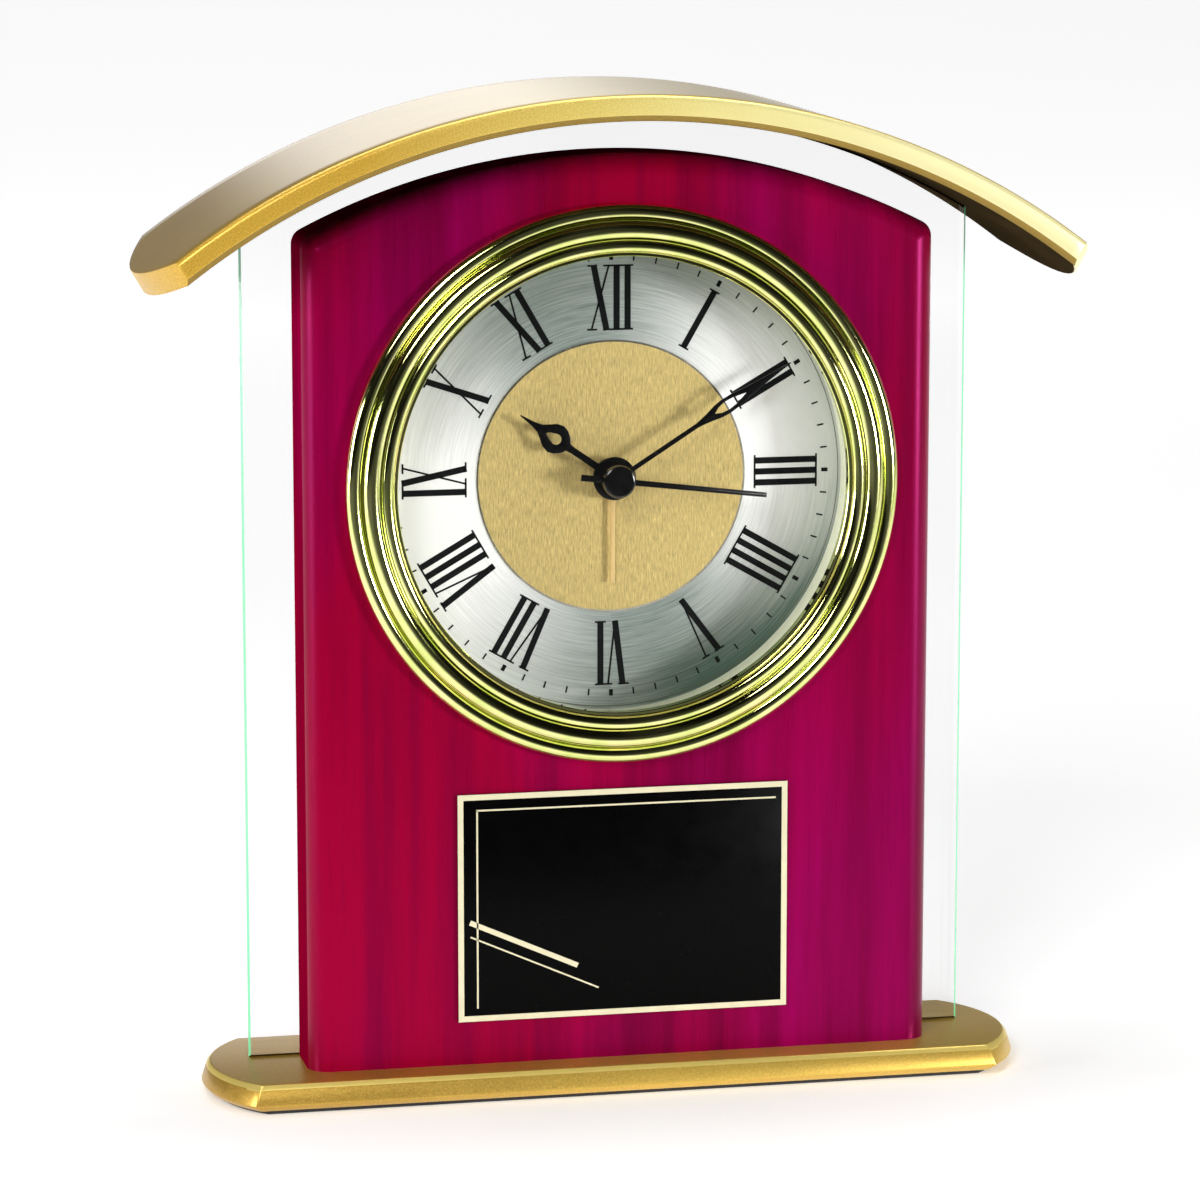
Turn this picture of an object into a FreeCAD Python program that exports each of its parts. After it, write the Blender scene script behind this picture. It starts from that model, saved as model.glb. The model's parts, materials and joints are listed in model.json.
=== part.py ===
import FreeCAD, Part
import math
import os
from FreeCAD import Vector

# A desk clock: a glass panel and a wood block stand on a gold base under a curved gold roof, and carry a
# round clock insert with an alarm movement. Millimetres. X is to the right, Y to the back, Z up, and the
# origin is the middle of the underside. Every turning piece has its axis along Y.

# Stand
BASE_MARGIN = 1.7
BASE_DEPTH = 37.0
BASE_BULGE = 7.3
BASE_THICK = 4.8
BASE_TOP_BEVEL = 0.7
BASE_FLARE = 0.9
BASE_FOOT_BEVEL = 1.2
BASE_BEVEL_RISE = 0.8
FELT_THICK = 1.0
FELT_INSET = 1.4
ROOF_MARGIN = 14.6
ROOF_DEPTH = 50.0
ROOF_BULGE = 7.8
ROOF_CURVE_SHARE = 0.8283
ROOF_THICK = 4.7
ROOF_END_TILT = 30.0
ROOF_TOP_BEVEL = 0.7
ROOF_UNDER_BEVEL = 1.1
ROOF_OVERRUN = 10.0
GLASS_MARGIN = 9.45
GLASS_THICK = 5.0
GLASS_BEVEL = 0.35
GLASS_FRONT = 2.8
GLUE_FILM = 0.05
WOOD_MARGIN = 7.25
WOOD_CROWN = 8.8
WOOD_THICK = 13.3
WOOD_TOP_GAP = 6.8
WOOD_CORNER = 3.0
WOOD_EDGE = 4.2
PLATE_WIDTH = 61.8
PLATE_HEIGHT = 42.5
PLATE_THICK = 0.5
PLATE_DROP = 8.2
PLATE_TO_BEZEL = 5.0
PLATE_BORDER = 1.05
PLATE_BORDER_THICK = 0.1
SCREW_SPREAD = 76.0
SCREW_SHANK = 1.75
SCREW_HEAD = 3.4
SCREW_HEAD_DEPTH = 2.0
SCREW_LENGTH = 13.0
SCREW_SLOT = 0.8

# Clock insert
DRUM_ROOM = 18.0
DRUM_WALL = 1.0
DRUM_BACK = 12.0
DRUM_BACK_THICK = 1.2
DIAL_SHELF = 3.0
DIAL_SHELF_THICK = 1.2
DRUM_CLEARANCE = 0.4
BAND_WIDTH = 5.0
BAND_FRONT = -7.0
FILM = 0.02
BEZEL_FLANGE = 5.1
BEZEL_BEAD_OUT = 2.8
BEZEL_BEAD_MID = 3.5
BEZEL_BEAD_IN = 2.5
BEZEL_LIP_WIDTH = 0.6
BEZEL_SIDE = 0.8
BEZEL_VALLEY_OUT_RISE = 1.9
BEZEL_VALLEY_IN_RISE = 2.6
BEZEL_LIP_RISE = 1.9
BEZEL_CREST_OUT_RISE = 2.6
BEZEL_CREST_MID_RISE = 3.7
BEZEL_CREST_IN_RISE = 3.3
CRYSTAL_THICK = 1.3
GASKET_THICK = 0.5
GASKET_WALL = 2.0
REFLECTOR_BACK_WALL = 1.5
REFLECTOR_FRONT_WALL = 2.2
DIAL_THICK = 0.8
DIAL_DISC_RADIUS = 25.15
DIAL_DISC_THICK = 0.2
PAD_THICK = 0.4

# Hands, measured from the dial face towards the front
HAND_THICK = 0.3
ALARM_HAND_LIFT = 1.2
HOUR_HAND_LIFT = 3.0
MINUTE_HAND_LIFT = 4.7
SECOND_HAND_LIFT = 6.3
CAP_HEIGHT = 1.7
CAP_RADIUS = 2.75
CAP_STEP = 0.3
HOUR_ANGLE = 304.8
MINUTE_ANGLE = 57.6
SECOND_ANGLE = 97.0
ALARM_ANGLE = 180.0
HOUR_LENGTH = 21.3
HOUR_BOSS = 3.7
HOUR_WIDTH = 1.4
HOUR_EYE_AT = 13.4
HOUR_EYE = 2.8
HOUR_EYE_HOLE = 1.45
MINUTE_TIP_GAP = 3.1
MINUTE_BOSS = 2.9
MINUTE_WIDTH = 1.0
MINUTE_LEAF_AT = 24.6
MINUTE_LEAF_WIDTH = 2.7
MINUTE_LEAF_START = 19.5
MINUTE_HOLE_LENGTH = 6.0
MINUTE_HOLE_WIDTH = 1.1
SECOND_LENGTH = 28.0
SECOND_TAIL = 7.0
SECOND_WIDTH = 0.6
SECOND_TAIL_WIDTH = 1.2
ALARM_LENGTH = 19.6
ALARM_BOSS = 3.2
ALARM_WIDTH = 1.0
HAND_TIP = 0.25

# Pipes on the centre axis
RUNNING_GAP = 0.05
ARBOR_RADIUS = 0.45
MINUTE_PIPE = 0.95
HOUR_PIPE = 1.6
ALARM_PIPE = 2.3
BUSH_RADIUS = 3.4
BUSH_FRONT = 0.4
SPINDLE_RADIUS = 0.5
PIVOT_DEPTH = 0.6
KNOB_SHAFT = 1.0

# Movement case
CASE_WIDTH = 56.0
CASE_DEPTH = 18.3
CASE_WALL = 1.5
CASE_SPLIT = 8.8
BATTERY_DIAMETER = 14.5
BATTERY_LENGTH = 49.2
BATTERY_NUB_RADIUS = 2.7
BATTERY_NUB = 1.1
BATTERY_GAP = 0.3
BATTERY_SHELF = 0.8
CONTACT_THICK = 0.4
CONTACT_BUMP_RADIUS = 3.0
CONTACT_BUMP_TIP = 1.6
CONTACT_GAP = 0.08
COVER_GAP = 0.15
COVER_GRIP_WIDTH = 12.0
COVER_GRIP_HEIGHT = 1.2
COVER_GRIP_RISE = 0.6
COVER_GRIPS = 4
CASE_BOSS = 2.1
CASE_SCREW = 0.9
CASE_SCREW_HEAD = 1.7
CASE_SCREW_HEAD_THICK = 1.0
CASE_SCREW_FRONT = 4.0
BOSS_INSET = 3.4
LOW_BOSS_DROP = 8.3

# Wheels: teeth, centre distances and the directions of their spindles, seen from the front
LAYER_THICK = 0.8
LAYER_GAP = 0.4
PLATE_GAP = 0.3
BRIDGE_THICK = 1.0
ALARM_TEETH = 36
ALARM_KNOB_TEETH = 18
ALARM_DISTANCE = 8.91
ALARM_DIRECTION = 330.0
CANNON_TEETH = 10
MOTION_TEETH = 30
MOTION_PINION_TEETH = 8
HOUR_TEETH = 32
MOTION_DISTANCE = 7.0
MOTION_DIRECTION = 210.0
TIME_KNOB_TEETH = 10
TIME_KNOB_DIRECTION = 180.0
CENTRE_TEETH = 64
THIRD_PINION_TEETH = 8
THIRD_TEETH = 60
SECOND_PINION_TEETH = 8
THIRD_DISTANCE = 8.0
THIRD_DIRECTION = 120.0
SECOND_TEETH = 40
STEP_PINION_TEETH = 8
STEP_DISTANCE = 8.2
STEP_DIRECTION = 30.0
STEP_TEETH = 48
ROTOR_TEETH = 8
ROTOR_DISTANCE = 7.0
ROTOR_DIRECTION = 60.0
ADDENDUM_SHARE = 0.6
DEDENDUM_SHARE = 1.0
ROOT_SHARE = 0.46
PITCH_SHARE = 0.36
TIP_SHARE = 0.20
HUB_WALL = 0.7

# Drive and electrics
MAGNET_RADIUS = 2.2
MAGNET_LENGTH = 1.6
STATOR_THICK = 1.0
STATOR_HOLE = 2.6
STATOR_SIDE = 4.0
STATOR_BAR = 3.0
STATOR_WIDTH = 22.0
STATOR_LOW = 5.0
STATOR_TOP = 12.3
STATOR_WINDOW_LOW = 4.0
BOBBIN_LENGTH = 11.0
BOBBIN_FLANGE = 4.2
BOBBIN_FLANGE_THICK = 0.8
BOBBIN_WALL = 0.5
WINDING_RADIUS = 3.6
BOARD_LEFT = -9.0
BOARD_RIGHT = 4.3
BOARD_LOW = -6.0
BOARD_HIGH = 25.0
BOARD_THICK = 0.8
BOARD_POST = 1.2
CAN_RADIUS = 1.0
CAN_LENGTH = 6.0
CAN_X = -3.0
CAN_LOW = 18.0
BUZZER_RADIUS = 4.6
BUZZER_THICK = 3.0
BUZZER_X = -16.5
BUZZER_Z = 20.5
CONTACT_STRIP_WIDTH = 1.6
CONTACT_STRIP_LENGTH = 12.0
CONTACT_STRIP_THICK = 0.25
CONTACT_STRIP_LEFT = -14.0
CONTACT_STRIP_Z = 10.0

# Controls at the back
KNOB_RADIUS = 4.2
KNOB_LENGTH = 3.4
KNOB_GAP = 0.5
KNOB_FLUTES = 18
FLUTE_RADIUS = 0.35
SWITCH_X = 16.5
SWITCH_Z = 10.0
SWITCH_WIDTH = 6.0
SWITCH_HEIGHT = 3.6
SWITCH_RISE = 1.6
SWITCH_STEM_WIDTH = 3.0
SWITCH_STEM_HEIGHT = 2.0
SWITCH_FOOT = 0.8
SWITCH_TRAVEL = 3.0
SWITCH_GAP = 0.2

CUT_OVERRUN = 1.0
EDGE_SAMPLES = 9
FULL_TURN = 360.0
HALF_TURN = 180.0

X_AXIS = Vector(1, 0, 0)
Y_AXIS = Vector(0, 1, 0)
Z_AXIS = Vector(0, 0, 1)

# The stand's size follows from the insert, and the insert's from the case of its movement
BASE_TOP = FELT_THICK + BASE_THICK
CASE_HALF = CASE_WIDTH / 2
DRUM_RADIUS = CASE_HALF + DRUM_ROOM
BEZEL_RADIUS = DRUM_RADIUS + BEZEL_FLANGE
BEZEL_VALLEY_OUT = BEZEL_RADIUS - BEZEL_BEAD_OUT
BEZEL_VALLEY_IN = BEZEL_VALLEY_OUT - BEZEL_BEAD_MID
BEZEL_LIP = BEZEL_VALLEY_IN - BEZEL_BEAD_IN
BEZEL_OPENING = BEZEL_LIP - BEZEL_LIP_WIDTH
MINUTE_LENGTH = BEZEL_OPENING - MINUTE_TIP_GAP
WOOD_WIDTH = 2 * (BEZEL_RADIUS + WOOD_MARGIN)
GLASS_WIDTH = WOOD_WIDTH + 2 * GLASS_MARGIN
BASE_CORNER_WIDTH = GLASS_WIDTH + 2 * BASE_MARGIN
ROOF_CORNER_WIDTH = GLASS_WIDTH + 2 * ROOF_MARGIN
ROOF_RADIUS = ROOF_CURVE_SHARE * ROOF_CORNER_WIDTH
PLATE_LOW = BASE_TOP + PLATE_DROP
AXIS_HEIGHT = PLATE_LOW + PLATE_HEIGHT + PLATE_TO_BEZEL + BEZEL_RADIUS
OVERALL_HEIGHT = AXIS_HEIGHT + BEZEL_RADIUS + WOOD_CROWN + WOOD_TOP_GAP + ROOF_THICK

# Places worked out from the sizes above
ROOF_CENTRE = OVERALL_HEIGHT - ROOF_RADIUS
ROOF_INSIDE = ROOF_RADIUS - ROOF_THICK
WOOD_FRONT = GLASS_FRONT - WOOD_THICK
GLASS_BACK = GLASS_FRONT + GLASS_THICK
BORE_RADIUS = DRUM_RADIUS + DRUM_CLEARANCE
SEAT_RADIUS = DRUM_RADIUS - DRUM_WALL - FILM
CRYSTAL_BACK = WOOD_FRONT + CRYSTAL_THICK
GASKET_BACK = CRYSTAL_BACK + GASKET_THICK
DIAL_HOLE = BUSH_RADIUS + RUNNING_GAP
CASE_FRONT = DIAL_THICK + PAD_THICK
CASE_BACK = CASE_FRONT + CASE_DEPTH
ROOM_HALF = CASE_HALF - CASE_WALL
ROOM_FRONT = CASE_FRONT + CASE_WALL
ROOM_BACK = CASE_BACK - CASE_WALL
LAYER_STEP = LAYER_THICK + LAYER_GAP
ALARM_LAYER = ROOM_FRONT + LAYER_GAP
HOUR_LAYER = ALARM_LAYER + LAYER_STEP
MOTION_LAYER = HOUR_LAYER + LAYER_STEP
PLATE_FRONT = MOTION_LAYER + LAYER_THICK + PLATE_GAP
PLATE_BACK = PLATE_FRONT + BRIDGE_THICK
CENTRE_LAYER = PLATE_BACK + LAYER_GAP
THIRD_LAYER = CENTRE_LAYER + LAYER_STEP
SECOND_LAYER = THIRD_LAYER + LAYER_STEP
STEP_LAYER = SECOND_LAYER + LAYER_STEP
ROTOR_LAYER = STEP_LAYER + LAYER_STEP
BRIDGE_FRONT = ROTOR_LAYER + MAGNET_LENGTH + LAYER_GAP
BRIDGE_BACK = BRIDGE_FRONT + BRIDGE_THICK
SHELF_TOP = -(ROOM_HALF - BATTERY_DIAMETER - 2 * BATTERY_GAP - BATTERY_SHELF)
SHELF_LOW = SHELF_TOP - BATTERY_SHELF
BATTERY_Z = SHELF_LOW - BATTERY_GAP - BATTERY_DIAMETER / 2
BATTERY_Y = (ROOM_FRONT + ROOM_BACK) / 2
BATTERY_REACH = (BATTERY_LENGTH + BATTERY_NUB) / 2


def polar(distance, direction):
    angle = math.radians(direction)
    return (distance * math.cos(angle), distance * math.sin(angle))


def beyond(start, distance, direction):
    step = polar(distance, direction)
    return (start[0] + step[0], start[1] + step[1])


ALARM_SPOT = polar(ALARM_DISTANCE, ALARM_DIRECTION)
MOTION_SPOT = polar(MOTION_DISTANCE, MOTION_DIRECTION)
TIME_SPOT = beyond(MOTION_SPOT, MOTION_DISTANCE, TIME_KNOB_DIRECTION)
THIRD_SPOT = polar(THIRD_DISTANCE, THIRD_DIRECTION)
STEP_SPOT = polar(STEP_DISTANCE, STEP_DIRECTION)
ROTOR_SPOT = beyond(STEP_SPOT, ROTOR_DISTANCE, ROTOR_DIRECTION)
CENTRE = (0, 0)


def save(name, shape, lift=0):
    """Write one piece; pieces of the insert are drawn about their axis and lifted onto it."""
    placed = shape.copy()
    placed.translate(Vector(0, 0, lift))
    placed.exportStep("parts/" + name + ".step")
    print(name, len(placed.Solids), round(placed.Volume, 3))


def rod(radius, front, back, spot=CENTRE):
    return Part.makeCylinder(radius, back - front, Vector(spot[0], front, spot[1]), Y_AXIS)


def ring(outer, inner, front, back, spot=CENTRE):
    hole = rod(inner, front - CUT_OVERRUN, back + CUT_OVERRUN, spot)
    return rod(outer, front, back, spot).cut(hole)


def slab(left, right, front, back, low, high):
    corner = Vector(left, front, low)
    return Part.makeBox(right - left, back - front, high - low, corner)


def joined(shapes):
    whole = shapes[0]
    for shape in shapes[1:]:
        whole = whole.fuse(shape)
    return whole.removeSplitter()


def line(start, end):
    return Part.LineSegment(start, end).toShape()


def arc(start, middle, end):
    return Part.Arc(start, middle, end).toShape()


def plan_outline(half_width, half_depth, bulge, height):
    """Straight front and back, with ends that bulge outwards between sharp corners."""
    left_front = Vector(-half_width, -half_depth, height)
    right_front = Vector(half_width, -half_depth, height)
    right_back = Vector(half_width, half_depth, height)
    left_back = Vector(-half_width, half_depth, height)
    right_end = Vector(half_width + bulge, 0, height)
    left_end = Vector(-half_width - bulge, 0, height)
    edges = [line(left_front, right_front), arc(right_front, right_end, right_back)]
    edges += [line(right_back, left_back), arc(left_back, left_end, left_front)]
    return Part.Wire(edges)


def arched_slab(half_width, low, radius, front, back):
    """A flat slab with straight sides and a top that follows the roof's curve."""
    shoulder = ROOF_CENTRE + math.sqrt(radius * radius - half_width * half_width)
    left_low = Vector(-half_width, front, low)
    right_low = Vector(half_width, front, low)
    right_high = Vector(half_width, front, shoulder)
    left_high = Vector(-half_width, front, shoulder)
    crown = Vector(0, front, ROOF_CENTRE + radius)
    edges = [line(left_low, right_low), line(right_low, right_high)]
    edges += [arc(right_high, crown, left_high), line(left_high, left_low)]
    return Part.Face(Part.Wire(edges)).extrude(Vector(0, back - front, 0))


# The stand

def wood_screw_cutter(x, growth):
    """Shape of a countersunk screw, grown all round to cut its hole."""
    shank = Part.makeCylinder(SCREW_SHANK + growth, SCREW_LENGTH + growth, Vector(x, 0, FELT_THICK), Z_AXIS)
    head = Part.makeCone(SCREW_HEAD + growth, SCREW_SHANK + growth, SCREW_HEAD_DEPTH,
                         Vector(x, 0, FELT_THICK), Z_AXIS)
    return shank.fuse(head)


SCREW_Y = (WOOD_FRONT + GLASS_FRONT) / 2
SCREW_PLACES = (-SCREW_SPREAD / 2, SCREW_SPREAD / 2)


def make_base():
    half_width = BASE_CORNER_WIDTH / 2
    half_depth = BASE_DEPTH / 2
    foot_rise = FELT_THICK + BASE_FOOT_BEVEL
    top_edge = BASE_TOP - BASE_BEVEL_RISE
    levels = [(BASE_FOOT_BEVEL, FELT_THICK), (0, foot_rise), (BASE_FLARE, top_edge)]
    levels.append((BASE_FLARE + BASE_TOP_BEVEL, BASE_TOP))
    wires = []
    for inset, height in levels:
        wires.append(plan_outline(half_width - inset, half_depth - inset, BASE_BULGE, height))
    body = Part.makeLoft(wires, True, True)
    for x in SCREW_PLACES:
        hole = wood_screw_cutter(x, RUNNING_GAP)
        hole.translate(Vector(0, SCREW_Y, 0))
        body = body.cut(hole)
    return body


def make_felt():
    inset = BASE_FOOT_BEVEL + FELT_INSET
    outline = plan_outline(BASE_CORNER_WIDTH / 2 - inset, BASE_DEPTH / 2 - inset, BASE_BULGE, 0)
    return Part.Face(outline).extrude(Vector(0, 0, FELT_THICK))


def make_screws():
    screws = []
    for x in SCREW_PLACES:
        screw = wood_screw_cutter(x, 0)
        slot = slab(x - SCREW_HEAD, x + SCREW_HEAD, -SCREW_SLOT / 2, SCREW_SLOT / 2, 0, FELT_THICK + SCREW_SLOT)
        screw = screw.cut(slot)
        screw.translate(Vector(0, SCREW_Y, 0))
        screws.append(screw)
    return Part.makeCompound(screws)


def edge_radii(edge):
    """Distances of points along an edge from the centre line of the roof's arc."""
    return [math.hypot(point.x, point.z - ROOF_CENTRE) for point in edge.discretize(EDGE_SAMPLES)]


def make_roof():
    """A bar bent to an arc; each end is cut round in plan and leans outwards towards the top."""
    half_depth = ROOF_DEPTH / 2
    half_width = ROOF_CORNER_WIDTH / 2
    centre = Vector(0, -half_depth, ROOF_CENTRE)
    reach = half_width + ROOF_BULGE + ROOF_OVERRUN
    outer = Part.makeCylinder(ROOF_RADIUS, ROOF_DEPTH, centre, Y_AXIS)
    inner = Part.makeCylinder(ROOF_INSIDE, ROOF_DEPTH, centre, Y_AXIS)
    right = slab(0, reach, -half_depth, half_depth, ROOF_CENTRE, OVERALL_HEIGHT)
    band = outer.cut(inner).common(right)
    level = math.cos(math.radians(ROOF_END_TILT))
    square_bulge = ROOF_BULGE * level
    end_radius = (half_depth * half_depth + square_bulge * square_bulge) / (2 * square_bulge)
    corner_height = ROOF_CENTRE + math.sqrt(ROOF_RADIUS * ROOF_RADIUS - half_width * half_width)
    lean = Vector(math.sin(math.radians(ROOF_END_TILT)), 0, level)
    middle = Vector(half_width + ROOF_BULGE - end_radius / level, 0, corner_height)
    start = middle - lean * ROOF_RADIUS
    trim = Part.makeCylinder(end_radius, 2 * ROOF_RADIUS, start, lean)
    crown = slab(0, half_width / 2, -half_depth, half_depth, ROOF_CENTRE, OVERALL_HEIGHT)
    band = band.common(trim.fuse(crown))
    whole = band.fuse(band.mirror(Vector(0, 0, 0), X_AXIS)).removeSplitter()
    tops = [edge for edge in whole.Edges if min(edge_radii(edge)) > ROOF_RADIUS - GLUE_FILM]
    whole = whole.makeChamfer(ROOF_TOP_BEVEL, tops)
    unders = [edge for edge in whole.Edges if max(edge_radii(edge)) < ROOF_INSIDE + GLUE_FILM]
    return whole.makeChamfer(ROOF_UNDER_BEVEL, unders)


def make_glass():
    panel = arched_slab(GLASS_WIDTH / 2, BASE_TOP, ROOF_INSIDE - GLUE_FILM, GLASS_FRONT, GLASS_BACK)
    sides = []
    for edge in panel.Edges:
        along_y = abs(edge.Vertexes[0].Point.y - edge.Vertexes[-1].Point.y) > GLASS_BEVEL
        if not along_y:
            sides.append(edge)
    panel = panel.makeChamfer(GLASS_BEVEL, sides)
    bore = rod(BORE_RADIUS, GLASS_FRONT - CUT_OVERRUN, GLASS_BACK + CUT_OVERRUN, (0, AXIS_HEIGHT))
    return panel.cut(bore)


def make_wood():
    half_width = WOOD_WIDTH / 2
    radius = ROOF_INSIDE - WOOD_TOP_GAP
    block = arched_slab(half_width, BASE_TOP, radius, WOOD_FRONT, GLASS_FRONT)
    corners = []
    for edge in block.Edges:
        ends = [vertex.Point for vertex in edge.Vertexes]
        if abs(ends[0].y - ends[1].y) > WOOD_CORNER and ends[0].z > AXIS_HEIGHT:
            corners.append(edge)
    block = block.makeFillet(WOOD_CORNER, corners)
    rims = []
    for edge in block.Edges:
        box = edge.BoundBox
        at_front = box.YMax < WOOD_FRONT + GLUE_FILM
        along_foot = box.ZMax < BASE_TOP + GLUE_FILM
        if at_front and not along_foot:
            rims.append(edge)
    block = block.makeFillet(WOOD_EDGE, rims)
    bore = rod(BORE_RADIUS, WOOD_FRONT - CUT_OVERRUN, GLASS_FRONT + CUT_OVERRUN, (0, AXIS_HEIGHT))
    block = block.cut(bore)
    for x in SCREW_PLACES:
        hole = wood_screw_cutter(x, RUNNING_GAP)
        hole.translate(Vector(0, SCREW_Y, 0))
        block = block.cut(hole)
    return block


PLATE_FACE = WOOD_FRONT - PLATE_THICK


def make_engraving_plate():
    half_width = PLATE_WIDTH / 2
    return slab(-half_width, half_width, PLATE_FACE, WOOD_FRONT, PLATE_LOW, PLATE_LOW + PLATE_HEIGHT)


def make_plate_border():
    half_width = PLATE_WIDTH / 2
    inside = half_width - PLATE_BORDER
    front = PLATE_FACE - PLATE_BORDER_THICK
    high = PLATE_LOW + PLATE_HEIGHT
    frame = slab(-half_width, half_width, front, PLATE_FACE, PLATE_LOW, high)
    window = slab(-inside, inside, front - CUT_OVERRUN, PLATE_FACE + CUT_OVERRUN,
                  PLATE_LOW + PLATE_BORDER, high - PLATE_BORDER)
    return frame.cut(window)


# The clock insert

def turned(edges):
    """A ring turned about the Y axis from a closed profile of radius and depth."""
    return Part.Face(Part.Wire(edges)).revolve(Vector(0, 0, 0), Y_AXIS, FULL_TURN)


def profile(points):
    corners = [Vector(radius, depth, 0) for radius, depth in points]
    corners.append(corners[0])
    return [line(start, end) for start, end in zip(corners, corners[1:])]


def bead(start, crest_rise, end):
    middle = Vector((start.x + end.x) / 2, WOOD_FRONT - crest_rise, 0)
    return arc(start, middle, end)


def make_bezel():
    foot = Vector(BEZEL_RADIUS, WOOD_FRONT, 0)
    side = Vector(BEZEL_RADIUS, WOOD_FRONT - BEZEL_SIDE, 0)
    valley_out = Vector(BEZEL_VALLEY_OUT, WOOD_FRONT - BEZEL_VALLEY_OUT_RISE, 0)
    valley_in = Vector(BEZEL_VALLEY_IN, WOOD_FRONT - BEZEL_VALLEY_IN_RISE, 0)
    lip = Vector(BEZEL_LIP, WOOD_FRONT - BEZEL_LIP_RISE, 0)
    rim = Vector(BEZEL_OPENING, WOOD_FRONT - BEZEL_LIP_RISE, 0)
    back = Vector(BEZEL_OPENING, WOOD_FRONT, 0)
    edges = [line(foot, side), bead(side, BEZEL_CREST_OUT_RISE, valley_out)]
    edges += [bead(valley_out, BEZEL_CREST_MID_RISE, valley_in), bead(valley_in, BEZEL_CREST_IN_RISE, lip)]
    edges += [line(lip, rim), line(rim, back), line(back, foot)]
    return turned(edges)


def make_housing():
    """A drum with a shelf for the dial and a back with a square window for the movement."""
    inside = DRUM_RADIUS - DRUM_WALL
    shelf_inside = inside - DIAL_SHELF
    shelf_back = DIAL_THICK + DIAL_SHELF_THICK
    points = [(DRUM_RADIUS, WOOD_FRONT), (DRUM_RADIUS, DRUM_BACK), (0, DRUM_BACK)]
    points += [(0, DRUM_BACK - DRUM_BACK_THICK), (inside, DRUM_BACK - DRUM_BACK_THICK), (inside, shelf_back)]
    points += [(shelf_inside, shelf_back), (shelf_inside, DIAL_THICK), (inside, DIAL_THICK), (inside, WOOD_FRONT)]
    drum = turned(profile(points))
    half = CASE_HALF + COVER_GAP
    window = slab(-half, half, DRUM_BACK - DRUM_BACK_THICK - CUT_OVERRUN, DRUM_BACK + CUT_OVERRUN, -half, half)
    return drum.cut(window)


def make_band():
    return ring(BORE_RADIUS - FILM, DRUM_RADIUS + FILM, BAND_FRONT, BAND_FRONT + BAND_WIDTH)


def make_reflector():
    """A pale sloping wall between the dial and the crystal."""
    points = [(SEAT_RADIUS, GASKET_BACK), (SEAT_RADIUS, 0), (SEAT_RADIUS - REFLECTOR_BACK_WALL, 0)]
    points.append((SEAT_RADIUS - REFLECTOR_FRONT_WALL, GASKET_BACK))
    return turned(profile(points))


# Hands: drawn pointing at twelve, then turned clockwise as seen from the front

def plate_between(outline, lift):
    """A thin plate from an outline of sideways and lengthwise places."""
    corners = [Vector(across, -lift - HAND_THICK, along) for across, along in outline]
    corners.append(corners[0])
    return Part.Face(Part.makePolygon(corners)).extrude(Vector(0, HAND_THICK, 0))


def turned_to(shape, angle):
    turned_shape = shape.copy()
    turned_shape.rotate(Vector(0, 0, 0), Y_AXIS, angle)
    return turned_shape


def hand_disc(radius, lift, along=0):
    return rod(radius, -lift - HAND_THICK, -lift, (0, along))


def make_hour_hand():
    half = HOUR_WIDTH / 2
    tip = HAND_TIP / 2
    stalk = plate_between([(-half, 0), (half, 0), (half, HOUR_EYE_AT), (-half, HOUR_EYE_AT)], HOUR_HAND_LIFT)
    shoulder = HOUR_EYE * math.cos(math.radians(45.0))
    cheek = HOUR_EYE_AT + shoulder
    spear = plate_between([(-shoulder, cheek), (-half, HOUR_EYE_AT + HOUR_EYE + half), (-tip, HOUR_LENGTH),
                           (tip, HOUR_LENGTH), (half, HOUR_EYE_AT + HOUR_EYE + half), (shoulder, cheek)],
                          HOUR_HAND_LIFT)
    parts = [hand_disc(HOUR_BOSS, HOUR_HAND_LIFT), stalk, hand_disc(HOUR_EYE, HOUR_HAND_LIFT, HOUR_EYE_AT), spear]
    hand = joined(parts)
    eye = rod(HOUR_EYE_HOLE, -HOUR_HAND_LIFT - CUT_OVERRUN, CUT_OVERRUN - HOUR_HAND_LIFT, (0, HOUR_EYE_AT))
    bore = rod(HOUR_PIPE - HUB_WALL / 2, -HOUR_HAND_LIFT - CUT_OVERRUN, CUT_OVERRUN - HOUR_HAND_LIFT)
    return turned_to(hand.cut(eye).cut(bore), HOUR_ANGLE)


def make_minute_hand():
    half = MINUTE_WIDTH / 2
    leaf = MINUTE_LEAF_WIDTH / 2
    tip = HAND_TIP / 2
    blade = plate_between([(-half, 0), (half, 0), (half, MINUTE_LEAF_START), (leaf, MINUTE_LEAF_AT),
                           (tip, MINUTE_LENGTH), (-tip, MINUTE_LENGTH), (-leaf, MINUTE_LEAF_AT),
                           (-half, MINUTE_LEAF_START)], MINUTE_HAND_LIFT)
    hand = joined([hand_disc(MINUTE_BOSS, MINUTE_HAND_LIFT), blade])
    hole_low = MINUTE_LEAF_AT - MINUTE_HOLE_LENGTH / 3
    hole_high = hole_low + MINUTE_HOLE_LENGTH
    hole_half = MINUTE_HOLE_WIDTH / 2
    slot = plate_between([(0, hole_low), (hole_half, MINUTE_LEAF_AT), (0, hole_high),
                          (-hole_half, MINUTE_LEAF_AT)], MINUTE_HAND_LIFT)
    bore = rod(MINUTE_PIPE - HUB_WALL / 2, -MINUTE_HAND_LIFT - CUT_OVERRUN, CUT_OVERRUN - MINUTE_HAND_LIFT)
    return turned_to(hand.cut(slot).cut(bore), MINUTE_ANGLE)


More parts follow.
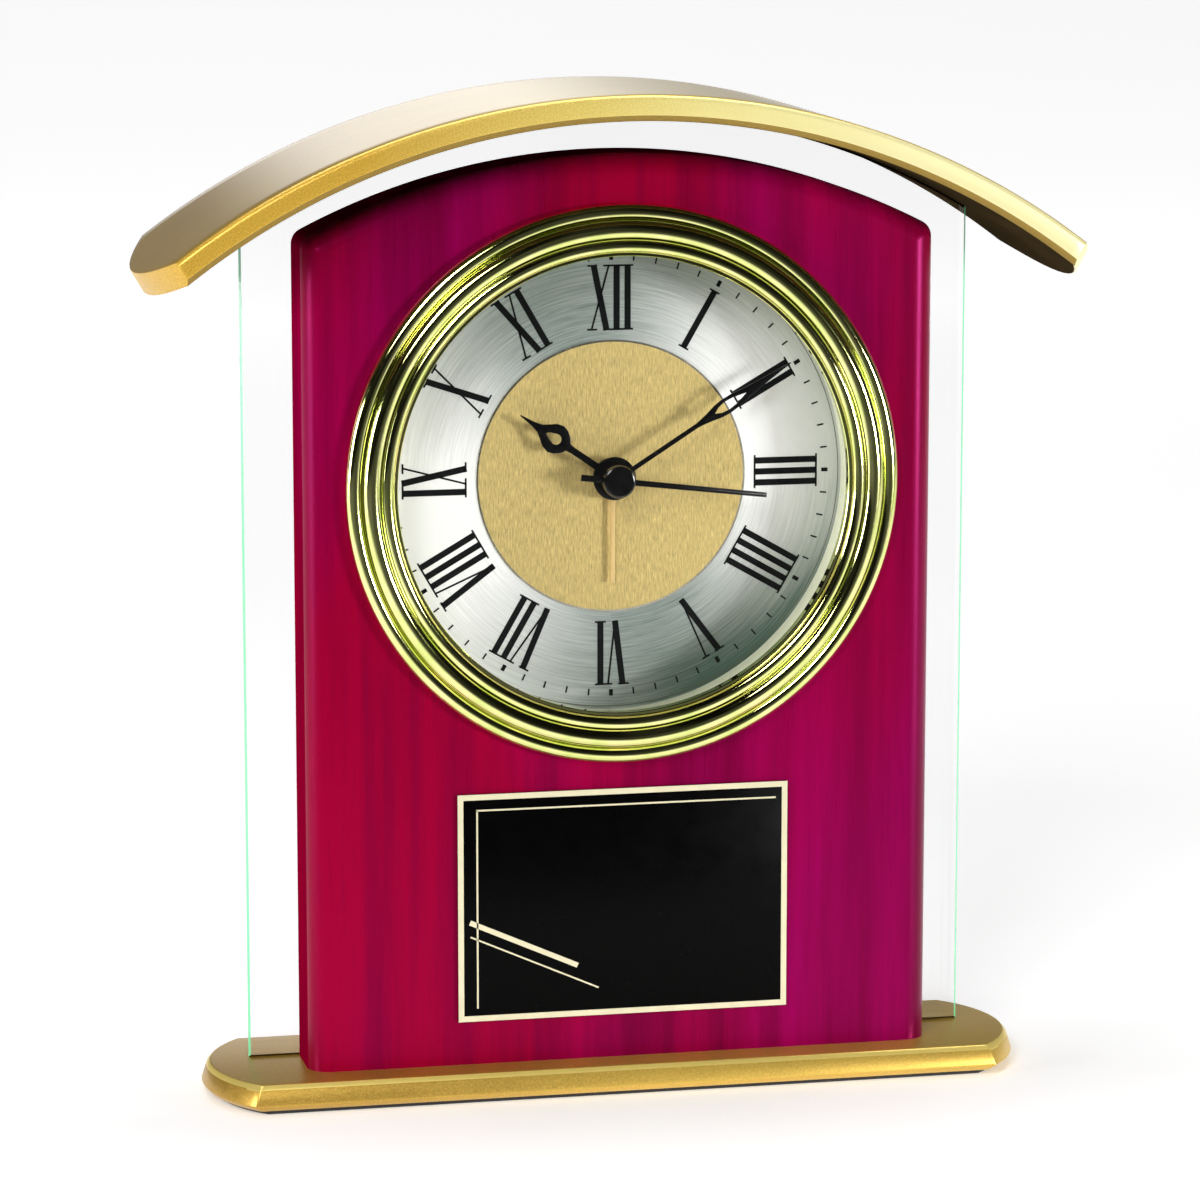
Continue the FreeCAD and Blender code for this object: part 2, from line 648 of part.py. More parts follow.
def make_second_hand():
    """The needle with its cap, turned in rings, over the hub of all the hands."""
    half = SECOND_WIDTH / 2
    tail = SECOND_TAIL_WIDTH / 2
    tip = HAND_TIP / 2
    needle = plate_between([(-tail, -SECOND_TAIL), (tail, -SECOND_TAIL), (half, 0), (tip, SECOND_LENGTH),
                            (-tip, SECOND_LENGTH), (-half, 0)], SECOND_HAND_LIFT)
    floor = -SECOND_HAND_LIFT - HAND_THICK
    cap = rod(CAP_RADIUS, floor, -SECOND_HAND_LIFT)
    steps = [cap, needle]
    top = floor - CAP_HEIGHT + HAND_THICK
    steps.append(rod(CAP_RADIUS, top, floor))
    whole = joined(steps)
    groove = ring(CAP_RADIUS - CAP_STEP, CAP_RADIUS - 2 * CAP_STEP, top - CUT_OVERRUN, top + CAP_STEP / 2)
    inner_groove = ring(CAP_RADIUS / 2, CAP_RADIUS / 2 - CAP_STEP, top - CUT_OVERRUN, top + CAP_STEP / 2)
    dimple = rod(CAP_STEP, top - CUT_OVERRUN, top + CAP_STEP / 2)
    whole = whole.cut(groove).cut(inner_groove).cut(dimple)
    return turned_to(whole, SECOND_ANGLE)


def make_alarm_hand():
    half = ALARM_WIDTH / 2
    tip = HAND_TIP / 2
    blade = plate_between([(-half, 0), (half, 0), (tip, ALARM_LENGTH), (-tip, ALARM_LENGTH)], ALARM_HAND_LIFT)
    hand = joined([hand_disc(ALARM_BOSS, ALARM_HAND_LIFT), blade])
    bore = rod(ALARM_PIPE - HUB_WALL / 2, -ALARM_HAND_LIFT - CUT_OVERRUN, CUT_OVERRUN - ALARM_HAND_LIFT)
    return turned_to(hand.cut(bore), ALARM_ANGLE)


# Wheels and pinions

def gear(teeth, module, front, back, spot, phase):
    """A spur gear; phase is the direction of one tooth in degrees, seen from the front."""
    radius = teeth * module / 2
    tip = radius + module * ADDENDUM_SHARE
    root = radius - module * DEDENDUM_SHARE
    pitch = 2 * math.pi / teeth
    corners = []
    for index in range(teeth):
        middle = math.radians(phase) + index * pitch
        for level, share, side in ((root, ROOT_SHARE, -1), (radius, PITCH_SHARE, -1), (tip, TIP_SHARE, -1),
                                   (tip, TIP_SHARE, 1), (radius, PITCH_SHARE, 1), (root, ROOT_SHARE, 1)):
            angle = middle + side * share * pitch / 2
            corners.append(Vector(spot[0] + level * math.cos(angle), front, spot[1] + level * math.sin(angle)))
    corners.append(corners[0])
    return Part.Face(Part.makePolygon(corners)).extrude(Vector(0, back - front, 0))


def meshing_phase(teeth, phase, direction, mate_teeth):
    """Direction of one tooth of the mate, so that a tooth meets a gap on the line of centres."""
    offset = (direction - phase) / (FULL_TURN / teeth)
    return direction + HALF_TURN - (FULL_TURN / mate_teeth) * (1 / 2 - offset)


def pair_module(distance, teeth, mate_teeth):
    return 2 * distance / (teeth + mate_teeth)


ALARM_MODULE = pair_module(ALARM_DISTANCE, ALARM_TEETH, ALARM_KNOB_TEETH)
MOTION_MODULE = pair_module(MOTION_DISTANCE, CANNON_TEETH, MOTION_TEETH)
HOUR_MODULE = pair_module(MOTION_DISTANCE, HOUR_TEETH, MOTION_PINION_TEETH)
CENTRE_MODULE = pair_module(THIRD_DISTANCE, CENTRE_TEETH, THIRD_PINION_TEETH)
THIRD_MODULE = pair_module(THIRD_DISTANCE, THIRD_TEETH, SECOND_PINION_TEETH)
SECOND_MODULE = pair_module(STEP_DISTANCE, SECOND_TEETH, STEP_PINION_TEETH)
STEP_MODULE = pair_module(ROTOR_DISTANCE, STEP_TEETH, ROTOR_TEETH)


def back_of(layer):
    return layer + LAYER_THICK


def make_alarm_wheel():
    """The outermost pipe on the centre axis, with the wheel that the alarm knob turns."""
    wheel = gear(ALARM_TEETH, ALARM_MODULE, ALARM_LAYER, back_of(ALARM_LAYER), CENTRE, 0)
    pipe = rod(ALARM_PIPE, -ALARM_HAND_LIFT, ALARM_LAYER)
    nose = rod(ALARM_PIPE - HUB_WALL / 2, -ALARM_HAND_LIFT - HAND_THICK, -ALARM_HAND_LIFT)
    bore = rod(HOUR_PIPE + RUNNING_GAP, -ALARM_HAND_LIFT - CUT_OVERRUN, back_of(ALARM_LAYER) + CUT_OVERRUN)
    return joined([wheel, pipe, nose]).cut(bore)


def make_hour_wheel():
    wheel = gear(HOUR_TEETH, HOUR_MODULE, HOUR_LAYER, back_of(HOUR_LAYER), CENTRE, 0)
    pipe = rod(HOUR_PIPE, -HOUR_HAND_LIFT, HOUR_LAYER)
    nose = rod(HOUR_PIPE - HUB_WALL / 2, -HOUR_HAND_LIFT - HAND_THICK, -HOUR_HAND_LIFT)
    bore = rod(MINUTE_PIPE + RUNNING_GAP, -HOUR_HAND_LIFT - CUT_OVERRUN, back_of(HOUR_LAYER) + CUT_OVERRUN)
    return joined([wheel, pipe, nose]).cut(bore)


HOUR_PINION_PHASE = meshing_phase(HOUR_TEETH, 0, MOTION_DIRECTION, MOTION_PINION_TEETH)
MOTION_PHASE = 0
CANNON_PHASE = meshing_phase(MOTION_TEETH, MOTION_PHASE, MOTION_DIRECTION - HALF_TURN, CANNON_TEETH)
TIME_PHASE = meshing_phase(MOTION_TEETH, MOTION_PHASE, TIME_KNOB_DIRECTION, TIME_KNOB_TEETH)
ALARM_KNOB_PHASE = meshing_phase(ALARM_TEETH, 0, ALARM_DIRECTION, ALARM_KNOB_TEETH)
THIRD_PINION_PHASE = meshing_phase(CENTRE_TEETH, 0, THIRD_DIRECTION, THIRD_PINION_TEETH)
SECOND_PINION_PHASE = meshing_phase(THIRD_TEETH, 0, THIRD_DIRECTION - HALF_TURN, SECOND_PINION_TEETH)
STEP_PINION_PHASE = meshing_phase(SECOND_TEETH, 0, STEP_DIRECTION, STEP_PINION_TEETH)
ROTOR_PHASE = meshing_phase(STEP_TEETH, 0, ROTOR_DIRECTION, ROTOR_TEETH)


def make_cannon_pinion():
    """The pipe of the minute hand, which slips in the centre wheel when the time is set."""
    pinion = gear(CANNON_TEETH, MOTION_MODULE, MOTION_LAYER, back_of(MOTION_LAYER), CENTRE, CANNON_PHASE)
    pipe = rod(MINUTE_PIPE, -MINUTE_HAND_LIFT, back_of(CENTRE_LAYER))
    nose = rod(MINUTE_PIPE - HUB_WALL / 2, -MINUTE_HAND_LIFT - HAND_THICK, -MINUTE_HAND_LIFT)
    bore = rod(ARBOR_RADIUS + RUNNING_GAP, -MINUTE_HAND_LIFT - CUT_OVERRUN, back_of(CENTRE_LAYER) + CUT_OVERRUN)
    return joined([pinion, pipe, nose]).cut(bore)


def make_motion_wheel():
    wheel = gear(MOTION_TEETH, MOTION_MODULE, MOTION_LAYER, back_of(MOTION_LAYER), MOTION_SPOT, MOTION_PHASE)
    pinion = gear(MOTION_PINION_TEETH, HOUR_MODULE, HOUR_LAYER, MOTION_LAYER, MOTION_SPOT, HOUR_PINION_PHASE)
    spindle = rod(SPINDLE_RADIUS, ROOM_FRONT - PIVOT_DEPTH, PLATE_FRONT + PIVOT_DEPTH, MOTION_SPOT)
    return joined([wheel, pinion, spindle])


def make_centre_wheel():
    wheel = gear(CENTRE_TEETH, CENTRE_MODULE, CENTRE_LAYER, back_of(CENTRE_LAYER), CENTRE, 0)
    bore = rod(MINUTE_PIPE + RUNNING_GAP, CENTRE_LAYER - CUT_OVERRUN, back_of(CENTRE_LAYER) + CUT_OVERRUN)
    return wheel.cut(bore)


def make_third_wheel():
    wheel = gear(THIRD_TEETH, THIRD_MODULE, THIRD_LAYER, back_of(THIRD_LAYER), THIRD_SPOT, 0)
    pinion = gear(THIRD_PINION_TEETH, CENTRE_MODULE, CENTRE_LAYER, THIRD_LAYER, THIRD_SPOT, THIRD_PINION_PHASE)
    spindle = rod(SPINDLE_RADIUS, PLATE_BACK - PIVOT_DEPTH, BRIDGE_FRONT + PIVOT_DEPTH, THIRD_SPOT)
    return joined([wheel, pinion, spindle])


def make_seconds_wheel():
    wheel = gear(SECOND_TEETH, SECOND_MODULE, SECOND_LAYER, back_of(SECOND_LAYER), CENTRE, 0)
    pinion = gear(SECOND_PINION_TEETH, THIRD_MODULE, THIRD_LAYER, SECOND_LAYER, CENTRE, SECOND_PINION_PHASE)
    arbor = rod(ARBOR_RADIUS, -SECOND_HAND_LIFT, BRIDGE_FRONT + PIVOT_DEPTH)
    return joined([wheel, pinion, arbor])


def make_step_wheel():
    wheel = gear(STEP_TEETH, STEP_MODULE, STEP_LAYER, back_of(STEP_LAYER), STEP_SPOT, 0)
    pinion = gear(STEP_PINION_TEETH, SECOND_MODULE, SECOND_LAYER, STEP_LAYER, STEP_SPOT, STEP_PINION_PHASE)
    spindle = rod(SPINDLE_RADIUS, PLATE_BACK - PIVOT_DEPTH, BRIDGE_FRONT + PIVOT_DEPTH, STEP_SPOT)
    return joined([wheel, pinion, spindle])


def make_rotor_pinion():
    pinion = gear(ROTOR_TEETH, STEP_MODULE, STEP_LAYER, back_of(STEP_LAYER), ROTOR_SPOT, ROTOR_PHASE)
    spindle = rod(SPINDLE_RADIUS, PLATE_BACK - PIVOT_DEPTH, BRIDGE_FRONT + PIVOT_DEPTH, ROTOR_SPOT)
    return joined([pinion, spindle])


def make_rotor_magnet():
    return ring(MAGNET_RADIUS, SPINDLE_RADIUS, ROTOR_LAYER, ROTOR_LAYER + MAGNET_LENGTH, ROTOR_SPOT)


# Movement case and plates

HIGH_BOSS = CASE_HALF - BOSS_INSET
BOSS_SPOTS = ((-HIGH_BOSS, HIGH_BOSS), (HIGH_BOSS, HIGH_BOSS), (-HIGH_BOSS, -LOW_BOSS_DROP),
              (HIGH_BOSS, -LOW_BOSS_DROP))
HALF_SPLIT_GAP = FILM


def hollow_box(front, back, floor_front, floor_back):
    outside = slab(-CASE_HALF, CASE_HALF, front, back, -CASE_HALF, CASE_HALF)
    return outside.cut(slab(-ROOM_HALF, ROOM_HALF, floor_front, floor_back, -ROOM_HALF, ROOM_HALF))


def make_front_case():
    body = hollow_box(CASE_FRONT, CASE_SPLIT, ROOM_FRONT, CASE_SPLIT + CUT_OVERRUN)
    bush = rod(BUSH_RADIUS, -BUSH_FRONT, ROOM_FRONT)
    shelf = slab(-ROOM_HALF, ROOM_HALF, ROOM_FRONT, CASE_SPLIT, SHELF_LOW, SHELF_TOP)
    pieces = [body, bush, shelf]
    for spot in BOSS_SPOTS:
        pieces.append(rod(CASE_BOSS, ROOM_FRONT, CASE_SPLIT, spot))
    case = joined(pieces)
    case = case.cut(rod(ALARM_PIPE + RUNNING_GAP, -BUSH_FRONT - CUT_OVERRUN, ROOM_FRONT + CUT_OVERRUN))
    pivot_front = ROOM_FRONT - PIVOT_DEPTH - RUNNING_GAP
    case = case.cut(rod(SPINDLE_RADIUS + RUNNING_GAP, pivot_front, ROOM_FRONT + CUT_OVERRUN, MOTION_SPOT))
    for spot in BOSS_SPOTS:
        hole = rod(CASE_SCREW + RUNNING_GAP, CASE_SCREW_FRONT - RUNNING_GAP, CASE_SPLIT + CUT_OVERRUN, spot)
        case = case.cut(hole)
    for spot in (ALARM_SPOT, TIME_SPOT):
        hole = rod(KNOB_SHAFT + RUNNING_GAP, pivot_front, ROOM_FRONT + CUT_OVERRUN, spot)
        case = case.cut(hole)
    return case


SWITCH_SLOT_HALF = SWITCH_STEM_HEIGHT / 2 + SWITCH_GAP


def battery_window(front, back, gap):
    half = BATTERY_REACH + BATTERY_GAP - gap
    return slab(-half, half, front, back, -ROOM_HALF + gap, SHELF_LOW - gap)


def make_back_case():
    split = CASE_SPLIT + HALF_SPLIT_GAP
    body = hollow_box(split, CASE_BACK, split - CUT_OVERRUN, ROOM_BACK)
    shelf = slab(-ROOM_HALF, ROOM_HALF, split, ROOM_BACK, SHELF_LOW, SHELF_TOP)
    pieces = [body, shelf]
    for spot in BOSS_SPOTS:
        pieces.append(rod(CASE_BOSS, split, ROOM_BACK, spot))
    board_front = ROOM_BACK - BOARD_POST
    middle = (BOARD_LEFT + BOARD_RIGHT) / 2
    for height in (BOARD_LOW + BOARD_POST, BOARD_HIGH - BOARD_POST):
        pieces.append(rod(BOARD_POST, board_front, ROOM_BACK, (middle, height)))
    case = joined(pieces)
    case = case.cut(battery_window(ROOM_BACK - CUT_OVERRUN, CASE_BACK + CUT_OVERRUN, 0))
    for spot in (ALARM_SPOT, TIME_SPOT):
        case = case.cut(rod(KNOB_SHAFT + RUNNING_GAP, ROOM_BACK - CUT_OVERRUN, CASE_BACK + CUT_OVERRUN, spot))
    left = SWITCH_X - SWITCH_STEM_WIDTH / 2 - SWITCH_GAP
    right = SWITCH_X + SWITCH_STEM_WIDTH / 2 + SWITCH_TRAVEL + SWITCH_GAP
    case = case.cut(slab(left, right, ROOM_BACK - CUT_OVERRUN, CASE_BACK + CUT_OVERRUN,
                         SWITCH_Z - SWITCH_SLOT_HALF, SWITCH_Z + SWITCH_SLOT_HALF))
    head_front = CASE_BACK - CASE_SCREW_HEAD_THICK - RUNNING_GAP
    for spot in BOSS_SPOTS:
        case = case.cut(rod(CASE_SCREW + RUNNING_GAP, split - CUT_OVERRUN, CASE_BACK, spot))
        case = case.cut(rod(CASE_SCREW_HEAD + RUNNING_GAP, head_front, CASE_BACK + CUT_OVERRUN, spot))
    return case


def make_case_screws():
    screws = []
    head_front = CASE_BACK - CASE_SCREW_HEAD_THICK
    for spot in BOSS_SPOTS:
        screw = rod(CASE_SCREW, CASE_SCREW_FRONT, head_front, spot).fuse(rod(CASE_SCREW_HEAD, head_front,
                                                                             CASE_BACK, spot))
        slot_half = CASE_SCREW / 3
        slot = slab(spot[0] - CASE_SCREW_HEAD, spot[0] + CASE_SCREW_HEAD, CASE_BACK - slot_half,
                    CASE_BACK + CUT_OVERRUN, spot[1] - slot_half, spot[1] + slot_half)
        screws.append(screw.cut(slot))
    return Part.makeCompound(screws)


def plate_body(front, back, spots, clear_spots):
    """A plate that spans the case on its bosses, with pivot holes and clear holes for the knob shafts."""
    high = CONTACT_STRIP_Z + CONTACT_STRIP_LENGTH / 3
    body = slab(-ROOM_HALF + GLUE_FILM, ROOM_HALF - GLUE_FILM, front, back, SHELF_TOP + GLUE_FILM, high)
    for spot in BOSS_SPOTS:
        body = body.cut(rod(CASE_BOSS + GLUE_FILM, front - CUT_OVERRUN, back + CUT_OVERRUN, spot))
    for spot in clear_spots:
        body = body.cut(rod(KNOB_SHAFT + RUNNING_GAP, front - CUT_OVERRUN, back + CUT_OVERRUN, spot))
    for spot, pivot_front, pivot_back, radius in spots:
        body = body.cut(rod(radius + RUNNING_GAP, pivot_front, pivot_back, spot))
    return body


def make_middle_plate():
    spots = [(CENTRE, PLATE_FRONT - CUT_OVERRUN, PLATE_BACK + CUT_OVERRUN, MINUTE_PIPE)]
    spots.append((MOTION_SPOT, PLATE_FRONT - CUT_OVERRUN, PLATE_FRONT + PIVOT_DEPTH + RUNNING_GAP, SPINDLE_RADIUS))
    for spot in (THIRD_SPOT, STEP_SPOT, ROTOR_SPOT):
        spots.append((spot, PLATE_BACK - PIVOT_DEPTH - RUNNING_GAP, PLATE_BACK + CUT_OVERRUN, SPINDLE_RADIUS))
    return plate_body(PLATE_FRONT, PLATE_BACK, spots, (ALARM_SPOT, TIME_SPOT))


def make_train_bridge():
    spots = [(CENTRE, BRIDGE_FRONT - CUT_OVERRUN, BRIDGE_FRONT + PIVOT_DEPTH + RUNNING_GAP, ARBOR_RADIUS)]
    for spot in (THIRD_SPOT, STEP_SPOT, ROTOR_SPOT):
        spots.append((spot, BRIDGE_FRONT - CUT_OVERRUN, BRIDGE_FRONT + PIVOT_DEPTH + RUNNING_GAP, SPINDLE_RADIUS))
    return plate_body(BRIDGE_FRONT, BRIDGE_BACK, spots, (ALARM_SPOT, TIME_SPOT))


# Electrics

STATOR_FRONT = ROTOR_LAYER + (MAGNET_LENGTH - STATOR_THICK) / 2
STATOR_BACK = STATOR_FRONT + STATOR_THICK
STATOR_LEFT = ROTOR_SPOT[0] - STATOR_WIDTH / 2
STATOR_RIGHT = STATOR_LEFT + STATOR_WIDTH
STATOR_HIGH = ROTOR_SPOT[1] + STATOR_TOP
COIL_Z = STATOR_HIGH - STATOR_BAR / 2
COIL_Y = (STATOR_FRONT + STATOR_BACK) / 2
COIL_LEFT = ROTOR_SPOT[0] - BOBBIN_LENGTH / 2
COIL_RIGHT = COIL_LEFT + BOBBIN_LENGTH


def rod_x(radius, left, right):
    return Part.makeCylinder(radius, right - left, Vector(left, COIL_Y, COIL_Z), X_AXIS)


def core_hole(growth):
    half = STATOR_BAR / 2 + growth
    return slab(COIL_LEFT - CUT_OVERRUN, COIL_RIGHT + CUT_OVERRUN, STATOR_FRONT - growth, STATOR_BACK + growth,
                COIL_Z - half, COIL_Z + half)


def make_stator():
    body = slab(STATOR_LEFT, STATOR_RIGHT, STATOR_FRONT, STATOR_BACK, ROTOR_SPOT[1] - STATOR_LOW, STATOR_HIGH)
    window = slab(STATOR_LEFT + STATOR_SIDE, STATOR_RIGHT - STATOR_SIDE, STATOR_FRONT - CUT_OVERRUN,
                  STATOR_BACK + CUT_OVERRUN, ROTOR_SPOT[1] + STATOR_WINDOW_LOW, STATOR_HIGH - STATOR_BAR)
    hole = rod(STATOR_HOLE, STATOR_FRONT - CUT_OVERRUN, STATOR_BACK + CUT_OVERRUN, ROTOR_SPOT)
    return body.cut(window).cut(hole)


def make_bobbin():
    tube = rod_x(WINDING_RADIUS - 2 * BOBBIN_WALL, COIL_LEFT, COIL_RIGHT)
    left = rod_x(BOBBIN_FLANGE, COIL_LEFT, COIL_LEFT + BOBBIN_FLANGE_THICK)
    right = rod_x(BOBBIN_FLANGE, COIL_RIGHT - BOBBIN_FLANGE_THICK, COIL_RIGHT)
    return joined([tube, left, right]).cut(core_hole(GLUE_FILM))


def make_winding():
    left = COIL_LEFT + BOBBIN_FLANGE_THICK
    right = COIL_RIGHT - BOBBIN_FLANGE_THICK
    return rod_x(WINDING_RADIUS, left, right).cut(rod_x(WINDING_RADIUS - 2 * BOBBIN_WALL, left - CUT_OVERRUN,
                                                        right + CUT_OVERRUN))


BOARD_BACK = ROOM_BACK - BOARD_POST
BOARD_FRONT = BOARD_BACK - BOARD_THICK


def make_board():
    return slab(BOARD_LEFT, BOARD_RIGHT, BOARD_FRONT, BOARD_BACK, BOARD_LOW, BOARD_HIGH)


def make_quartz_can():
    return Part.makeCylinder(CAN_RADIUS, CAN_LENGTH, Vector(CAN_X, BOARD_FRONT - CAN_RADIUS, CAN_LOW), Z_AXIS)


def make_buzzer():
    body = rod(BUZZER_RADIUS, ROOM_BACK - BUZZER_THICK, ROOM_BACK, (BUZZER_X, BUZZER_Z))
    mouth = rod(BUZZER_RADIUS / 4, ROOM_BACK - BUZZER_THICK - CUT_OVERRUN, ROOM_BACK - BUZZER_THICK / 2,
                (BUZZER_X, BUZZER_Z))
    return body.cut(mouth)


def make_alarm_contact():
    """A strip riveted to the middle plate, with its free end raised towards the alarm wheel."""
    low = CONTACT_STRIP_Z - CONTACT_STRIP_WIDTH / 2
    high = CONTACT_STRIP_Z + CONTACT_STRIP_WIDTH / 2
    right = CONTACT_STRIP_LEFT + CONTACT_STRIP_LENGTH
    strip = slab(CONTACT_STRIP_LEFT, right, PLATE_FRONT - CONTACT_STRIP_THICK, PLATE_FRONT, low, high)
    tab = slab(right - CONTACT_STRIP_THICK, right, PLATE_FRONT - LAYER_STEP, PLATE_FRONT, low, high)
    rivet = rod(CONTACT_STRIP_WIDTH / 3, PLATE_FRONT - 2 * CONTACT_STRIP_THICK, PLATE_FRONT,
                (CONTACT_STRIP_LEFT + CONTACT_STRIP_WIDTH, CONTACT_STRIP_Z))
    return joined([strip, tab, rivet])


def make_battery():
    left = -BATTERY_REACH
    centre = Vector(left, BATTERY_Y, BATTERY_Z)
    body = Part.makeCylinder(BATTERY_DIAMETER / 2, BATTERY_LENGTH, centre, X_AXIS)
    nub_start = Vector(left + BATTERY_LENGTH, BATTERY_Y, BATTERY_Z)
    return joined([body, Part.makeCylinder(BATTERY_NUB_RADIUS, BATTERY_NUB, nub_start, X_AXIS)])


def make_contact(side):
    """A plate against the case wall with a raised bump that reaches the end of the cell."""
    half = BATTERY_DIAMETER / 2 - BATTERY_GAP
    wall = ROOM_HALF - CONTACT_THICK
    plate = slab(wall, ROOM_HALF, BATTERY_Y - half, BATTERY_Y + half, BATTERY_Z - half, BATTERY_Z + half)
    height = wall - BATTERY_REACH - CONTACT_GAP
    bump = Part.makeCone(CONTACT_BUMP_RADIUS, CONTACT_BUMP_TIP, height, Vector(wall, BATTERY_Y, BATTERY_Z),
                         Vector(-1, 0, 0))
    contact = joined([plate, bump])
    if side < 0:
        contact = contact.mirror(Vector(0, 0, 0), X_AXIS)
    return contact


def make_battery_cover():
    cover = battery_window(ROOM_BACK, CASE_BACK, COVER_GAP)
    middle = (SHELF_LOW - ROOM_HALF) / 2
    half = COVER_GRIP_WIDTH / 2
    pieces = [cover]
    for index in range(COVER_GRIPS):
        low = middle + (index - COVER_GRIPS / 2) * 2 * COVER_GRIP_HEIGHT
        pieces.append(slab(-half, half, CASE_BACK, CASE_BACK + COVER_GRIP_RISE, low, low + COVER_GRIP_HEIGHT))
    return joined(pieces)


# Controls

def make_knob(spot, teeth, module, layer, phase):
    """A shaft with its pinion inside the case and a fluted knob behind it."""
    pinion = gear(teeth, module, layer, back_of(layer), spot, phase)
    knob_front = CASE_BACK + KNOB_GAP
    shaft = rod(KNOB_SHAFT, ROOM_FRONT - PIVOT_DEPTH, knob_front, spot)
    knob = rod(KNOB_RADIUS, knob_front, knob_front + KNOB_LENGTH, spot)
    for index in range(KNOB_FLUTES):
        flute_spot = beyond(spot, KNOB_RADIUS, index * FULL_TURN / KNOB_FLUTES)
        knob = knob.cut(rod(FLUTE_RADIUS, knob_front + FLUTE_RADIUS, knob_front + KNOB_LENGTH + CUT_OVERRUN,
                            flute_spot))
    return joined([pinion, shaft, knob])


def make_alarm_switch():
    """A thumb piece outside, a stem through the slot and a foot inside the wall."""
    half_height = SWITCH_HEIGHT / 2
    stem_half = SWITCH_STEM_HEIGHT / 2
    thumb_front = CASE_BACK + SWITCH_GAP
    foot_back = ROOM_BACK - SWITCH_GAP
    thumb = slab(SWITCH_X - SWITCH_WIDTH / 2, SWITCH_X + SWITCH_WIDTH / 2, thumb_front, thumb_front + SWITCH_RISE,
                 SWITCH_Z - half_height, SWITCH_Z + half_height)
    stem = slab(SWITCH_X - SWITCH_STEM_WIDTH / 2, SWITCH_X + SWITCH_STEM_WIDTH / 2, foot_back, thumb_front,
                SWITCH_Z - stem_half, SWITCH_Z + stem_half)
    foot = slab(SWITCH_X - SWITCH_STEM_WIDTH / 2, SWITCH_X + SWITCH_STEM_WIDTH / 2, foot_back - SWITCH_FOOT,
                foot_back, SWITCH_Z - half_height, SWITCH_Z + half_height)
    return joined([thumb, stem, foot])


def build():
    os.makedirs("parts", exist_ok=True)
    save("base_plate", make_base())
    save("base_felt", make_felt())
    save("glass_panel", make_glass())
    save("wood_block", make_wood())
    save("roof_bar", make_roof())
    save("engraving_plate", make_engraving_plate())
    save("plate_border", make_plate_border())
    save("wood_screws", make_screws())
    insert = {
        "bezel_ring": make_bezel(),
        "crystal": rod(SEAT_RADIUS, WOOD_FRONT, CRYSTAL_BACK),
        "crystal_gasket": ring(SEAT_RADIUS, SEAT_RADIUS - GASKET_WALL, CRYSTAL_BACK, GASKET_BACK),
        "reflector_ring": make_reflector(),
        "dial_plate": ring(SEAT_RADIUS, DIAL_HOLE, 0, DIAL_THICK),
        "dial_centre": ring(DIAL_DISC_RADIUS, DIAL_HOLE, -DIAL_DISC_THICK, 0),
        "insert_housing": make_housing(),
        "housing_band": make_band(),
        "movement_pad": ring(ROOM_HALF, DIAL_HOLE, DIAL_THICK, CASE_FRONT),
        "hour_hand": make_hour_hand(),
        "minute_hand": make_minute_hand(),
        "second_hand": make_second_hand(),
        "alarm_hand": make_alarm_hand(),
        "alarm_wheel": make_alarm_wheel(),
        "hour_wheel": make_hour_wheel(),
        "cannon_pinion": make_cannon_pinion(),
        "motion_wheel": make_motion_wheel(),
        "centre_wheel": make_centre_wheel(),
        "third_wheel": make_third_wheel(),
        "seconds_wheel": make_seconds_wheel(),
        "step_wheel": make_step_wheel(),
        "rotor_pinion": make_rotor_pinion(),
        "rotor_magnet": make_rotor_magnet(),
        "movement_front_case": make_front_case(),
        "movement_back_case": make_back_case(),
        "case_screws": make_case_screws(),
        "middle_plate": make_middle_plate(),
        "train_bridge": make_train_bridge(),
        "stator": make_stator(),
        "coil_bobbin": make_bobbin(),
        "coil_winding": make_winding(),
        "circuit_board": make_board(),
        "quartz_can": make_quartz_can(),
        "buzzer": make_buzzer(),
        "alarm_contact": make_alarm_contact(),
        "battery": make_battery(),
        "contact_positive": make_contact(1),
        "contact_negative": make_contact(-1),
        "battery_cover": make_battery_cover(),
        "time_knob": make_knob(TIME_SPOT, TIME_KNOB_TEETH, MOTION_MODULE, MOTION_LAYER, TIME_PHASE),
        "alarm_knob": make_knob(ALARM_SPOT, ALARM_KNOB_TEETH, ALARM_MODULE, ALARM_LAYER, ALARM_KNOB_PHASE),
        "alarm_switch": make_alarm_switch(),
    }
    for name, shape in insert.items():
        save(name, shape, AXIS_HEIGHT)


build()
